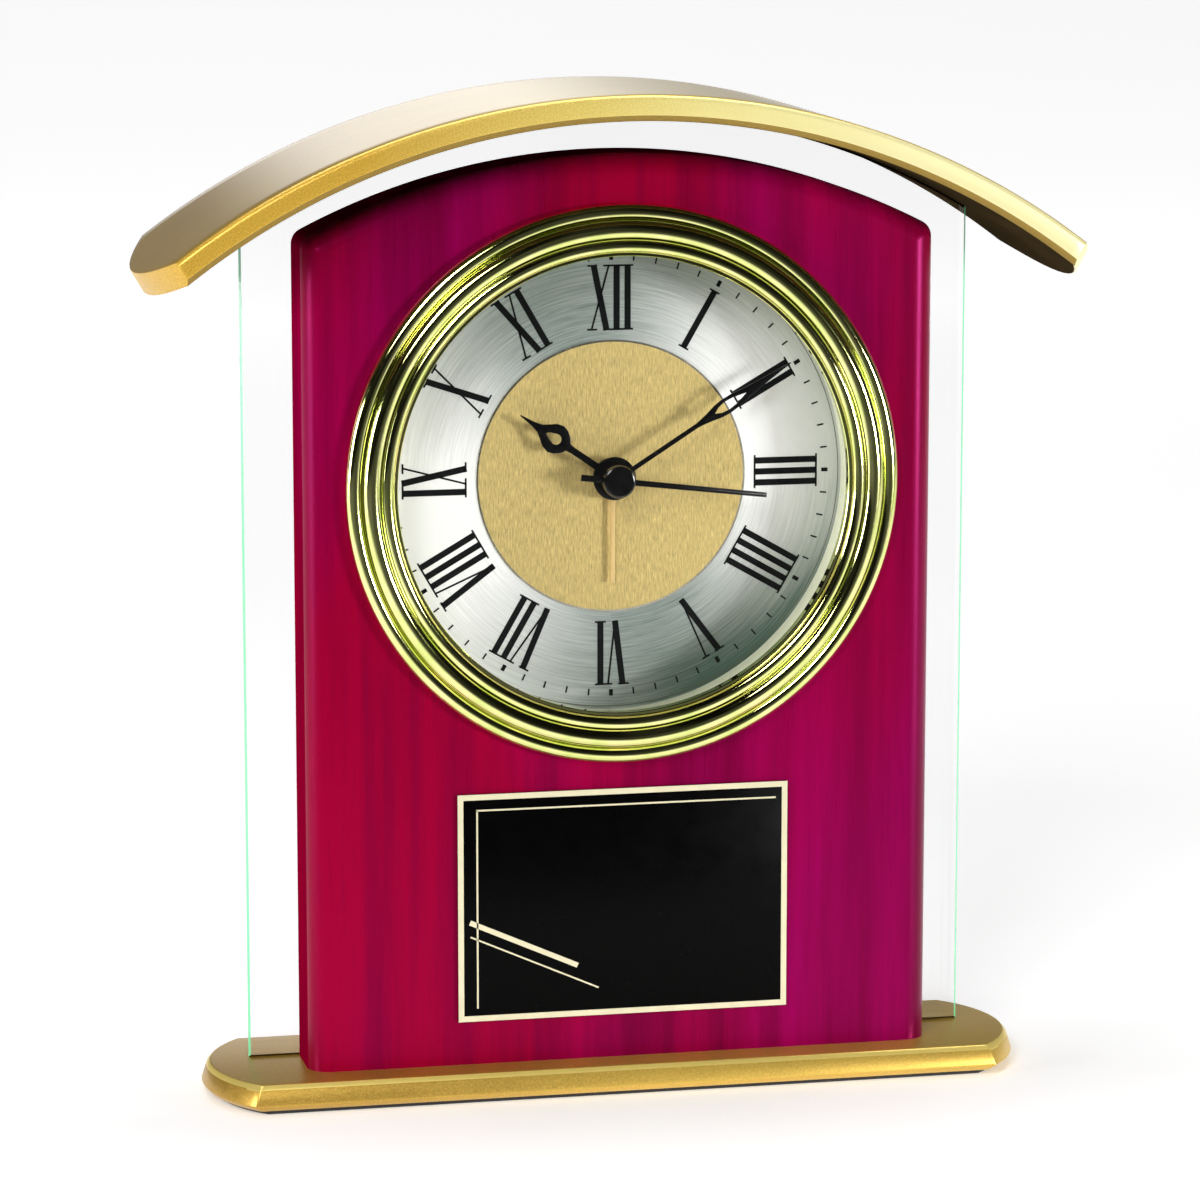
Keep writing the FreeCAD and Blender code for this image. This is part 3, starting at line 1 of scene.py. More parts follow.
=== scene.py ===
import bpy
import bmesh
import json
from math import asin, atan2, cos, hypot, pi, radians, sin, sqrt
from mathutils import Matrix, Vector


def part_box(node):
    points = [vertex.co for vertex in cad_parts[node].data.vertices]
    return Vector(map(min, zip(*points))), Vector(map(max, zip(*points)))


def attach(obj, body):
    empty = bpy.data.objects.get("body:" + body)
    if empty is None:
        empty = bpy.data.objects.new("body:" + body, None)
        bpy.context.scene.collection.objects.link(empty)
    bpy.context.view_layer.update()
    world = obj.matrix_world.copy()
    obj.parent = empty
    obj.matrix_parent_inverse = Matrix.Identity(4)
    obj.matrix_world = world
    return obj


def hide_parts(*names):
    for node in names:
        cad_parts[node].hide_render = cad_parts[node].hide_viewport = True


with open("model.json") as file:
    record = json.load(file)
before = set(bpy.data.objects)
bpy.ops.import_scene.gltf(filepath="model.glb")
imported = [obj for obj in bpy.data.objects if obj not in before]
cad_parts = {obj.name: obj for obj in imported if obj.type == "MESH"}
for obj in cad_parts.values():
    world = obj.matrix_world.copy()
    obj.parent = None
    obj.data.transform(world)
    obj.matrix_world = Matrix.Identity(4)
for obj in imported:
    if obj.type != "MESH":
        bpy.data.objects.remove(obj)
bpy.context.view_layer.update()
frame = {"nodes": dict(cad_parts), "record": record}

bl_info = {
    "name": "Desk clock",
    "version": (1, 0, 0),
    "blender": (4, 5, 0),
    "location": "View3D > Sidebar > Clock",
    "description": "Finishes the glass and wood desk clock round its packed pieces",
    "category": "Object",
}

MM = 0.001
FULL_TURN = 2 * pi
QUARTER_TURN = pi / 2

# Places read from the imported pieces
BASE_LOW, BASE_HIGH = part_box("base_plate")
FELT_LOW, FELT_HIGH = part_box("base_felt")
WOOD_LOW, WOOD_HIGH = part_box("wood_block")
GLASS_LOW, GLASS_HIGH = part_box("glass_panel")
ROOF_LOW, ROOF_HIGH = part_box("roof_bar")
PLATE_LOW, PLATE_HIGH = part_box("engraving_plate")
BEZEL_LOW, BEZEL_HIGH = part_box("bezel_ring")
DIAL_LOW, DIAL_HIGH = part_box("dial_plate")
DISC_LOW, DISC_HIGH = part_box("dial_centre")
CRYSTAL_LOW, CRYSTAL_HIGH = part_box("crystal")
REFLECTOR_LOW, REFLECTOR_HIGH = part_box("reflector_ring")
AXIS_HEIGHT = (BEZEL_LOW.z + BEZEL_HIGH.z) / 2


def half_height(low, high):
    """Radius of a round piece of the insert."""
    return (high.z - low.z) / 2


def length(name, description, value):
    """A size in metres that a user would change, given in millimetres."""
    return bpy.props.FloatProperty(name=name, description=description, default=value * MM, unit="LENGTH",
                                   precision=5)


def tint(name, description, value):
    return bpy.props.FloatVectorProperty(name=name, description=description, default=value, size=3,
                                         subtype="COLOR", min=0.0, max=1.0)


class ClockSizes(bpy.types.PropertyGroup):
    corner_half: length("Base corner", "Half the width of the base between its corners", 69.5)
    base_flare: length("Base flare", "How far the edge of the base leans in towards its top", 0.9)
    base_bevel: length("Base bevel", "Bevel round the top of the base", 0.7)
    foot_bevel: length("Foot bevel", "Bevel round the foot of the base", 1.2)
    bevel_rise: length("Bevel rise", "Height of the bevel at the top of the base", 0.8)
    felt_inset: length("Felt inset", "How far the felt stands back under the base", 2.6)
    roof_radius: length("Roof radius", "Radius of the upper side of the roof", 136.5)
    roof_thick: length("Roof thickness", "Thickness of the roof bar", 4.7)
    roof_corner: length("Roof corner", "Half the width of the roof between its corners", 82.4)
    roof_bulge: length("Roof bulge", "How far the ends of the roof bulge", 7.42)
    roof_bevel: length("Roof bevel", "Bevel along the upper edges of the roof", 0.7)
    roof_under: length("Roof under bevel", "Bevel along the lower edges of the roof", 1.1)
    wood_gap: length("Wood gap", "Gap between the wood and the roof", 6.8)
    wood_edge: length("Wood edge", "Radius of the rounded front edge of the wood", 4.2)
    wood_corner: length("Wood corner", "Radius of the upper corners of the wood", 3.0)
    glass_bevel: length("Glass bevel", "Ground bevel round the glass", 0.42)
    bore: length("Bore", "Radius of the hole for the insert", 46.4)
    border: length("Plate border", "Width of the border of the plate", 1.05)
    lip: length("Bezel lip", "Radius of the opening of the bezel", 41.7)
    tick_radius: length("Minute marks", "Radius of the middle of the minute marks", 40.35)
    numeral_low: length("Numeral foot", "Radius of the inner end of the numerals", 26.9)
    numeral_high: length("Numeral head", "Radius of the outer end of the numerals", 38.9)
    line_radius: length("Dial line", "Radius of the fine line round the dial", 42.9)


class ClockColours(bpy.types.PropertyGroup):
    gold: tint("Satin gold", "Colour of the base and roof", (0.72, 0.475, 0.088))
    bright_gold: tint("Polished gold", "Colour of the bezel", (0.92, 0.90, 0.40))
    wood: tint("Wood", "Colour of the stained wood", (0.27, 0.0003, 0.020))
    wood_dark: tint("Wood grain", "Colour of the dark grain", (0.12, 0.0003, 0.020))
    silver: tint("Dial silver", "Colour of the spun dial", (1.0, 1.0, 0.99))
    dial_gold: tint("Dial gold", "Colour of the disc in the dial", (0.42, 0.325, 0.125))
    cream: tint("Cream", "Colour of the border of the plate", (0.80, 0.74, 0.50))
    reflector: tint("Reflector", "Colour of the ring round the dial", (0.84, 0.86, 0.66))
    glass_edge: tint("Glass edge", "Colour of the edges of the glass", (0.16, 0.72, 0.36))
    silver_shade: tint("Silver shade", "Colour of the dial between its bright fans", (0.075, 0.13, 0.105))
    magenta: tint("Wood cast", "Colour that parts of the wood lean to", (0.25, 0.0003, 0.068))
    grain: bpy.props.FloatProperty(name="Grain", description="How strongly the grain shows", default=0.9,
                                   subtype="FACTOR", min=0.0, max=1.0)


def sizes():
    return bpy.context.scene.clock_sizes


def colours():
    return bpy.context.scene.clock_colours


# Shader maths

class Value:
    """A socket that carries a number; arithmetic on it adds Math nodes."""

    def __init__(self, nodes, socket):
        self.nodes = nodes
        self.socket = socket

    def join(self, operation, first, second):
        return self.nodes.add("ShaderNodeMath", {0: first, 1: second}, operation=operation)

    def __add__(self, other):
        return self.join("ADD", self, other)

    def __radd__(self, other):
        return self.join("ADD", other, self)

    def __sub__(self, other):
        return self.join("SUBTRACT", self, other)

    def __rsub__(self, other):
        return self.join("SUBTRACT", other, self)

    def __mul__(self, other):
        return self.join("MULTIPLY", self, other)

    def __rmul__(self, other):
        return self.join("MULTIPLY", other, self)

    def __pow__(self, other):
        return self.join("POWER", self, other)

    def __rpow__(self, other):
        return self.join("POWER", other, self)


ACROSS, DEEP, UP = 0, 1, 2
MIX_FACTOR, MIX_FIRST, MIX_SECOND, MIX_COLOUR = 0, 6, 7, 2
NOISE_LOW, NOISE_HIGH = 0.3, 0.7


class Nodes:
    """A node tree under construction."""

    def __init__(self, tree):
        self.tree = tree

    def connect(self, socket, value):
        if isinstance(value, Value):
            self.tree.links.new(value.socket, socket)
        elif socket.type == "RGBA":
            socket.default_value = (*value, 1.0)
        else:
            socket.default_value = value

    def add(self, kind, inputs=None, output=0, **settings):
        """Add a node: its settings first, then the values or links of its sockets."""
        node = self.tree.nodes.new(kind)
        for name, value in settings.items():
            setattr(node, name, value)
        for name, value in (inputs or {}).items():
            self.connect(node.inputs[name], value)
        return Value(self, node.outputs[output])

    def axis(self, index, coordinates="Object"):
        """Sideways, depth or height part of a place."""
        point = self.add("ShaderNodeTexCoord", output=coordinates)
        return self.add("ShaderNodeSeparateXYZ", {0: point}, index)

    def noise(self, scale, detail=3.0, roughness=0.5, point=None):
        """Noise over the object or a given point, scaled by one number or by one for each axis."""
        scale = scale if isinstance(scale, tuple) else (scale, scale, scale)
        point = point or self.add("ShaderNodeTexCoord", output="Object")
        point = self.add("ShaderNodeVectorMath", {0: point, 1: scale}, operation="MULTIPLY")
        return self.add("ShaderNodeTexNoise", {"Vector": point, "Scale": 1.0, "Detail": detail,
                                               "Roughness": roughness})

    def map(self, value, low, high, to_low=0.0, to_high=1.0, curve="LINEAR"):
        """Map one range to another, cut off at its ends."""
        return self.add("ShaderNodeMapRange", {"Value": value, "From Min": low, "From Max": high,
                                               "To Min": to_low, "To Max": to_high}, interpolation_type=curve)

    def spread(self, noise, low=0.0, high=1.0):
        """Map the range that noise mostly keeps to."""
        return self.map(noise, NOISE_LOW, NOISE_HIGH, low, high)

    def mix(self, factor, first, second):
        """A colour between two colours."""
        inputs = {MIX_FACTOR: factor, MIX_FIRST: first, MIX_SECOND: second}
        return self.add("ShaderNodeMix", inputs, MIX_COLOUR, data_type="RGBA")


class Finish(Nodes):
    """A material under construction."""

    def __init__(self, name):
        self.material = bpy.data.materials.new(name)
        self.material.use_nodes = True
        super().__init__(self.material.node_tree)
        self.shader = self.tree.nodes["Principled BSDF"]

    def set(self, **values):
        for name, value in values.items():
            self.connect(self.shader.inputs[name.replace("_", " ")], value)

    def bump(self, height, distance, strength):
        """Raise the surface by a height that goes up to a distance in millimetres."""
        inputs = {"Height": height, "Distance": distance * MM, "Strength": strength}
        self.set(Normal=self.add("ShaderNodeBump", inputs))


def shade(colour, *factors):
    """A colour multiplied by one factor, or by one for each of its parts, and kept within 1."""
    factors = factors if len(factors) == 3 else factors * 3
    return tuple(min(1.0, part * factor) for part, factor in zip(colour, factors))


# Finishes of the stand; noise is in turns to the metre

# Sideways places between which painted light on the gold comes up from left to right: painted shade at the
# left giving way to a painted sheen, and on the front of the roof a painted glare
PAINTED_SHEEN = (-75 * MM, 5 * MM)
ROOF_PAINTED_SHEEN = (-50 * MM, 12 * MM)
ROOF_PAINTED_GLARE = (-10 * MM, 50 * MM)
SPECK_RANGE = (0.36, 0.64)


def satin_gold(finish, coat=0.05, depth=0.82):
    """Lacquered satin gold: fine grain, a clear coat that whitens where it is seen aslant, and painted shade
    at the left that gives way to a painted sheen towards the right.
    """
    speck = finish.noise(3200.0, 3.0, 0.6)
    cloud = finish.noise(30.0)
    gold = shade(colours().gold, depth)
    painted_sheen = finish.map(finish.axis(ACROSS), *PAINTED_SHEEN)
    tone = finish.map(speck * 0.7 + cloud * 0.3, *SPECK_RANGE) * (painted_sheen * 0.6 + 0.4)
    # Painted shade: a darker, browner copy of the gold at the left, giving way to the full gold as painted
    # sheen
    body = finish.mix(painted_sheen, shade(gold, 0.66, 0.56, 0.4), gold)
    finish.set(Base_Color=finish.mix(tone, body, shade(gold, 1.4)), Metallic=0.6)
    finish.set(Roughness=finish.spread(speck, 0.28, 0.4), Coat_Weight=coat, Coat_Roughness=0.12)
    finish.bump(speck, 0.01, 0.3)


def roof_gold(finish):
    # Painted light: the roof's gold is painted brighter than the base's, depth 1.12 against 0.82
    satin_gold(finish, coat=0.85, depth=1.12)


def bright_bevel(finish):
    """Gold painted bright for the bevel round the top of the base: a painted highlight."""
    speck = finish.noise(400.0, 3.0, 0.6)
    finish.set(Base_Color=finish.mix(speck, (0.97, 0.74, 0.19), (1.0, 0.78, 0.22)), Metallic=0.55)
    finish.set(Roughness=finish.spread(speck, 0.3, 0.34))


def roof_front(finish):
    """The brushed front and the ends of the roof, with painted shade at the left and a painted sheen and
    glare towards the right.
    """
    speck = finish.noise(3600.0, 3.0, 0.6)
    tone = finish.map(speck, *SPECK_RANGE)
    painted_sheen = finish.map(finish.axis(ACROSS), *ROOF_PAINTED_SHEEN)
    painted_glare = finish.map(finish.axis(ACROSS), *ROOF_PAINTED_GLARE)
    # Painted shade at the left in deep, and a painted highlight towards the right in bright and its glare
    deep = finish.mix(tone, (0.56, 0.32, 0.035), (0.80, 0.50, 0.065))
    bright = finish.mix(painted_glare, finish.mix(tone, (0.86, 0.70, 0.18), (1.0, 0.86, 0.28)), (1.0, 0.92, 0.48))
    finish.set(Base_Color=finish.mix(painted_sheen, deep, bright), Metallic=0.35)
    finish.set(Roughness=finish.spread(speck, 0.28, 0.4))
    finish.bump(speck, 0.01, 0.3)


def roof_bevel(finish):
    """Gold painted dark without the coat, for the bevel that faces down: painted shade."""
    speck = finish.noise(1900.0, 3.0, 0.6)
    # Painted shade: a dark gold for the faces that look down
    finish.set(Base_Color=finish.mix(speck, (0.26, 0.17, 0.035), (0.36, 0.24, 0.06)), Roughness=0.45)
    finish.set(Specular_IOR_Level=0.1)


def roof_underside(finish):
    """The same gold in the shade of the roof, where it mirrors the dark top of the wood."""
    cloud = finish.noise((60.0, 20.0, 60.0))
    finish.set(Base_Color=finish.mix(cloud, (0.012, 0.012, 0.008), (0.07, 0.045, 0.018)))
    finish.set(Roughness=0.5, Specular_IOR_Level=0.0)


def felt(finish):
    fibre = finish.noise(1500.0, 5.0, 0.8)
    finish.set(Base_Color=finish.mix(fibre, (0.006, 0.006, 0.006), (0.04, 0.04, 0.042)), Roughness=1.0)
    finish.set(Sheen_Weight=0.4)
    finish.bump(fibre, 0.3, 0.7)


def rosewood(finish, shine=0.4):
    """Stained close-grained wood: upright figure, fine pores and a cast that wanders to magenta at random and
    leans to it towards the right, where the lean is a painted sheen.
    """
    warp = finish.noise((14.0, 10.0, 4.0), 2.0)
    streak = finish.noise((150.0, 60.0, 7.0), 5.0, 0.6)
    fine = finish.noise((1400.0, 500.0, 60.0), 3.0, 0.6)
    # Painted sheen: the cast leans to magenta towards the right, on top of its random wander
    cast = finish.noise((26.0, 10.0, 9.0), 1.0) + finish.axis(ACROSS) * 1.3
    grain = finish.map(streak * 0.55 + warp * 0.45, 0.42, 0.6, 0.0, colours().grain)
    pores = finish.map(fine, 0.55, 0.75, 0.0, 0.35)
    dark = colours().wood_dark
    body = finish.mix(finish.map(cast, 0.4, 0.62), colours().wood, colours().magenta)
    finish.set(Base_Color=finish.mix(pores, finish.mix(grain, body, dark), dark))
    finish.set(Roughness=finish.spread(fine, 0.26, 0.34), Specular_IOR_Level=shine)
    finish.set(Specular_Tint=(1.0, 0.05, 0.45))
    finish.bump(fine, 0.01, 0.12)


def rosewood_side(finish):
    rosewood(finish, shine=0.0)


def clear_glass(finish):
    """Clear glass, left open to light so that what stands behind it is lit."""
    smear = finish.noise(40.0)
    finish.set(Base_Color=(0.9, 0.97, 0.95), Metallic=1.0, Roughness=0.02)
    finish.set(Alpha=finish.spread(smear, 0.035, 0.05))


def glass_edge(finish):
    wave = finish.noise((90.0, 90.0, 14.0))
    edge = colours().glass_edge
    finish.set(Base_Color=finish.mix(finish.spread(wave), edge, shade(edge, 1.12)), Roughness=0.15)
    finish.set(Alpha=finish.spread(wave, 0.75, 0.9))


# Finishes of the insert

# Angle of the dial's painted highlight fans, and the radii over which its painted shade by the right-hand rim
# grows
PAINTED_FAN_TURN = radians(75.0)
SHADED_RIM = (33 * MM, 43 * MM)


def polished_gold(finish):
    haze = finish.noise(200.0, 5.0)
    gold = colours().bright_gold
    finish.set(Base_Color=finish.mix(finish.map(haze, 0.35, 0.65), gold, shade(gold, 0.80, 0.90, 0.65)))
    finish.set(Metallic=1.0, Roughness=finish.spread(haze, 0.05, 0.1))


def crystal(finish):
    """Thin flat glass: almost wholly see-through, with a light reflection."""
    dust = finish.noise(500.0)
    finish.set(Base_Color=(1.0, 1.0, 1.0), Metallic=1.0, Roughness=0.03)
    finish.set(Alpha=finish.map(dust, 0.0, 1.0, 0.02, 0.03))


def dial_silver(finish):
    """A turned dial: fine rings, painted highlight fans where the light would catch them, and painted shade
    by the right-hand rim.
    """
    across = finish.axis(ACROSS)
    up = finish.axis(UP) - AXIS_HEIGHT
    radius = (across * across + up * up) ** 0.5
    angle = finish.add("ShaderNodeMath", {0: across, 1: up}, operation="ARCTAN2")
    turn = finish.add("ShaderNodeCombineXYZ", {0: radius, 2: angle})
    rings = finish.noise((3200.0, 1.0, 2.5), 3.0, 0.7, turn)
    # Painted highlight fans by angle, and painted shade by the right-hand rim
    painted_fan = finish.add("ShaderNodeMath", {0: (angle - PAINTED_FAN_TURN) * 2.0}, operation="COSINE")
    right = finish.add("ShaderNodeMath", {0: angle}, operation="SINE")
    shaded = finish.map(radius, *SHADED_RIM, 0.0, 0.55) * finish.map(right, 0.1, 0.9)
    tone = finish.map(rings * 0.6 + painted_fan * 0.45, -0.33, 0.68) - shaded
    finish.set(Base_Color=finish.mix(tone, colours().silver_shade, colours().silver), Metallic=0.15)
    finish.set(Roughness=finish.spread(rings, 0.36, 0.48), Specular_IOR_Level=0.3)
    finish.bump(rings, 0.02, 0.3)


def dial_gold(finish):
    brush = finish.noise((4200.0, 200.0, 550.0), 3.0, 0.7)
    gold = colours().dial_gold
    finish.set(Base_Color=finish.mix(finish.spread(brush), gold, shade(gold, 1.95)), Metallic=0.4)
    finish.set(Roughness=finish.spread(brush, 0.4, 0.55), Specular_IOR_Level=0.3)
    finish.bump(brush, 0.01, 0.3)


def mottled(finish, colour, roughness, metallic=0.0, coat=0.0, mottle=0.12, shine=0.5):
    """A moulded, painted or plated finish with a slight mottle; the colour may be the name of a setting."""
    colour = getattr(colours(), colour) if isinstance(colour, str) else colour
    patches = finish.noise(260.0, 4.0)
    finish.set(Base_Color=finish.mix(finish.spread(patches), colour, shade(colour, 1 - mottle)))
    finish.set(Metallic=metallic, Coat_Weight=coat, Specular_IOR_Level=shine)
    finish.set(Roughness=finish.spread(patches, roughness * 0.85, roughness * 1.15))
    finish.bump(patches, 0.02, 0.12)


PATTERNED = (satin_gold, roof_gold, bright_bevel, roof_front, roof_bevel, roof_underside, felt, rosewood,
             rosewood_side, clear_glass, glass_edge, polished_gold, crystal, dial_silver, dial_gold)
MAKERS = {maker.__name__: maker for maker in PATTERNED}


def plain(colour, roughness, **more):
    return dict(colour=colour, roughness=roughness, **more)


def metal(colour, roughness):
    return plain(colour, roughness, metallic=1.0)


MOTTLED = {
    # Painted shade on the glass bevels at the top and foot
    "glass_foot": plain((0.05, 0.035, 0.01), 0.4),
    "black_plate": plain((0.001, 0.001, 0.001), 0.3, shine=0.05),
    "cream_line": plain("cream", 0.35, metallic=0.3),
    "reflector": plain("reflector", 0.45, mottle=0.05),
    "disc_rim": metal((0.78, 0.74, 0.6), 0.25),
    "dial_ink": plain((0.004, 0.005, 0.005), 0.4, shine=0.1),
    "dial_line": plain((0.10, 0.10, 0.05), 0.4),
    "hand_black": plain((0.002, 0.002, 0.002), 0.25, shine=0.2),
    "hand_gold": plain((0.82, 0.58, 0.24), 0.35, metallic=0.4),
    "cap_black": plain((0.003, 0.003, 0.003), 0.15, shine=0.6),
    "steel": metal((0.55, 0.55, 0.54), 0.3),
    "black_rubber": plain((0.012, 0.012, 0.012), 0.7),
    "housing": metal((0.62, 0.47, 0.22), 0.28),
    "gear_plastic": plain((0.82, 0.82, 0.76), 0.3),
    "case_plastic": plain((0.012, 0.012, 0.013), 0.42),
    "knob_plastic": plain((0.015, 0.015, 0.016), 0.25, coat=0.3),
    "magnet": plain((0.09, 0.09, 0.1), 0.4, metallic=0.8),
    "core": metal((0.5, 0.5, 0.5), 0.35),
    "copper": metal((0.62, 0.26, 0.11), 0.25),
    "bobbin": plain((0.78, 0.77, 0.7), 0.4),
    "board": plain((0.02, 0.14, 0.05), 0.35, coat=0.4),
    "can": metal((0.78, 0.78, 0.78), 0.15),
    "contact": metal((0.7, 0.7, 0.68), 0.2),
    "cell": plain((0.3, 0.31, 0.33), 0.28, metallic=0.6),
}

MATERIALS = {}


def material(name):
    """The material of a finish, made the first time that it is asked for."""
    if name not in MATERIALS:
        finish = Finish(name)
        if name in MOTTLED:
            mottled(finish, **MOTTLED[name])
        else:
            MAKERS[name](finish)
        MATERIALS[name] = finish.material
    return MATERIALS[name]


# Mesh tools

def show(obj):
    bpy.context.scene.collection.objects.link(obj)


def dress(obj, body, slot, replaced=None, finishes=(), angle=35.0, choose=None):
    """Put a mesh in the scene, riding on its body; choose names the finish of each face."""
    mesh = obj.data
    for name in finishes or (slot,):
        mesh.materials.append(material(name))
    if choose:
        for face in mesh.polygons:
            face.material_index = finishes.index(choose(face))
    mesh.shade_smooth()
    mesh.set_sharp_from_angle(angle=radians(angle))
    show(obj)
    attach(obj, body)
    if replaced:
        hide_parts(replaced)


JOIN_WITHIN = 1e-7
SHARP_EDGE = radians(25.0)
BORE_STEPS = 192


def mesh_object(name, vertices, faces):
    mesh = bpy.data.meshes.new(name)
    mesh.from_pydata([tuple(vertex) for vertex in vertices], [], faces)
    cleaned = bmesh.new()
    cleaned.from_mesh(mesh)
    bmesh.ops.remove_doubles(cleaned, verts=cleaned.verts, dist=JOIN_WITHIN)
    bmesh.ops.recalc_face_normals(cleaned, faces=cleaned.faces)
    cleaned.to_mesh(mesh)
    cleaned.free()
    return bpy.data.objects.new(name, mesh)


def skin(rows, count, closed=False):
    """Quads between rows of points, where each row is a closed loop."""
    faces = []
    for row in range(rows if closed else rows - 1):
        near, far = row * count, (row + 1) % rows * count
        for index in range(count):
            after = (index + 1) % count
            faces.append((near + index, near + after, far + after, far + index))
    return faces


def lofted(name, loops, caps=None):
    """Skin closed loops of equal length, with a cap at each end; caps lists the faces of a curved cap."""
    count = len(loops[0])
    faces = skin(len(loops), count)
    for face in caps or [tuple(range(count))]:
        faces.append(tuple(reversed(face)))
        faces.append(tuple((len(loops) - 1) * count + index for index in face))
    return mesh_object(name, [point for loop in loops for point in loop], faces)


def turned(name, outline, steps=256):
    """Turn a closed outline of radius and depth about the axis of the dial."""
    vertices = []
    for across, up in circle(1.0, steps):
        vertices += [(radius * across, depth, AXIS_HEIGHT + radius * up) for radius, depth in outline]
    return mesh_object(name, vertices, skin(steps, len(outline), closed=True))


def circle(radius, steps=48):
    """Sideways and upward places round a circle, clockwise from the top."""
    angles = [FULL_TURN * step / steps for step in range(steps)]
    return [(radius * sin(angle), radius * cos(angle)) for angle in angles]


def arc_points(start, crest, end, steps):
    """Points on the circle through three points."""
    (ax, ay), (bx, by), (cx, cy) = start, crest, end
    scale = 2 * (ax * (by - cy) + bx * (cy - ay) + cx * (ay - by))
    first, second, third = ax * ax + ay * ay, bx * bx + by * by, cx * cx + cy * cy
    ux = (first * (by - cy) + second * (cy - ay) + third * (ay - by)) / scale
    uy = (first * (cx - bx) + second * (ax - cx) + third * (bx - ax)) / scale
    radius = hypot(ax - ux, ay - uy)
    begin, middle, finish = (atan2(y - uy, x - ux) for x, y in (start, crest, end))
    sweep = (finish - begin) % FULL_TURN
    if (middle - begin) % FULL_TURN > sweep:
        sweep -= FULL_TURN
    angles = [begin + sweep * step / steps for step in range(steps + 1)]
    return [(ux + radius * cos(angle), uy + radius * sin(angle)) for angle in angles]


def bevelled(front, back, bevel):
    """Inset and depth of each loop of a slab with a bevel round both faces."""
    return [(bevel, front), (0.0, front + bevel), (0.0, back - bevel), (bevel, back)]


def flat_piece(name, loops, front, back):
    """A flat piece from an outline and its holes, as sideways and upright places."""
    piece = bmesh.new()
    for depth in (front, back):
        edges = []
        for loop in loops:
            ring = [piece.verts.new((across, depth, up)) for across, up in loop]
            edges += [piece.edges.new((ring[index - 1], ring[index])) for index in range(len(ring))]
        bmesh.ops.triangle_fill(piece, edges=edges, use_beauty=True)
    piece.verts.ensure_lookup_table()
    offset = len(piece.verts) // 2
    start = 0
    for loop in loops:
        for index in range(len(loop)):
            first, second = start + index, start + (index + 1) % len(loop)
            corners = (first, second, second + offset, first + offset)
            piece.faces.new([piece.verts[number] for number in corners])
        start += len(loop)
    bmesh.ops.recalc_face_normals(piece, faces=piece.faces)
    mesh = bpy.data.meshes.new(name)
    piece.to_mesh(mesh)
    piece.free()
    return bpy.data.objects.new(name, mesh)


def applied(obj, kind, **settings):
    """Apply a modifier to an object that isn't in the scene yet."""
    show(obj)
    modifier = obj.modifiers.new(kind, kind)
    for name, value in settings.items():
        setattr(modifier, name, value)
    shown = obj.evaluated_get(bpy.context.evaluated_depsgraph_get())
    mesh = bpy.data.meshes.new_from_object(shown)
    bpy.context.scene.collection.objects.unlink(obj)
    name = obj.name
    bpy.data.objects.remove(obj)
    return bpy.data.objects.new(name, mesh)


def softened(obj, width):
    """Round the sharp edges of a mesh a little, as polishing does."""
    return applied(obj, "BEVEL", width=width, segments=2, limit_method="ANGLE", angle_limit=SHARP_EDGE)


def bored(obj):
    """Cut the round hole for the insert."""
    bpy.ops.mesh.primitive_cylinder_add(vertices=BORE_STEPS, radius=sizes().bore, depth=100 * MM,
                                        location=(0, 0, AXIS_HEIGHT), rotation=(QUARTER_TURN, 0, 0))
    cutter = bpy.context.object
    result = applied(obj, "BOOLEAN", object=cutter, operation="DIFFERENCE", solver="EXACT")
    bpy.data.objects.remove(cutter)
    return result


def placed_round(points, angle):
    """Turn dial places of sideways and outward from twelve to an angle, clockwise from the front."""
    sine, cosine = sin(angle), cos(angle)
    return [(x * cosine + out * sine, AXIS_HEIGHT - x * sine + out * cosine) for x, out in points]


def rectangle(left, right, low, high):
    return [(left, low), (right, low), (right, high), (left, high)]


def stroke(start, end, width):
    """A straight stroke with square ends, between two places."""
    (ax, ay), (bx, by) = start, end
    run = hypot(bx - ax, by - ay)
    px, py = -(by - ay) / run * width / 2, (bx - ax) / run * width / 2
    return [(ax + px, ay + py), (ax - px, ay - py), (bx - px, by - py), (bx + px, by + py)]


# The stand

BASE_ROUNDING = 0.22 * MM
FELT_ROUNDING = 0.25 * MM
END_STEPS = 24

# How far a face looks up, as a cosine, on the bevel at the top of the base, which gets a painted highlight
BEVEL_STEEPEST, BEVEL_FLATTEST = 0.5, 0.9


def base_face(face):
    return "bright_bevel" if BEVEL_STEEPEST < face.normal.z < BEVEL_FLATTEST else "satin_gold"


def base_loops(levels):
    """Outlines of the base, with straight sides and bulging ends, from an inset and a height for each."""
    half_depth = (BASE_HIGH.y - BASE_LOW.y) / 2
    bulge = BASE_HIGH.x - sizes().corner_half
    loops = []
    for inset, height in levels:
        corner, deep = sizes().corner_half - inset, half_depth - inset
        right = arc_points((corner, -deep), (corner + bulge, 0.0), (corner, deep), END_STEPS)
        left = [(-x, -y) for x, y in right]
        loops.append([Vector((x, y, height)) for x, y in right + left])
    return loops


class CLOCK_OT_base(bpy.types.Operator):
    """Base plate and the felt under it"""
    bl_idname = "clock.base"
    bl_label = "Base"

    def execute(self, context):
        size = sizes()
        levels = [(size.foot_bevel, BASE_LOW.z), (0.0, BASE_LOW.z + size.foot_bevel),
                  (size.base_flare, BASE_HIGH.z - size.bevel_rise),
                  (size.base_flare + size.base_bevel, BASE_HIGH.z)]
        body = softened(lofted("base_plate_finish", base_loops(levels)), BASE_ROUNDING)
        dress(body, "stand", "satin_gold", "base_plate", ("satin_gold", "bright_bevel"), 30.0, base_face)
        levels = [(size.felt_inset, FELT_LOW.z), (size.felt_inset, FELT_HIGH.z)]
        pad = softened(lofted("base_felt_finish", base_loops(levels)), FELT_ROUNDING)
        dress(pad, "stand", "felt", "base_felt")
        return {"FINISHED"}


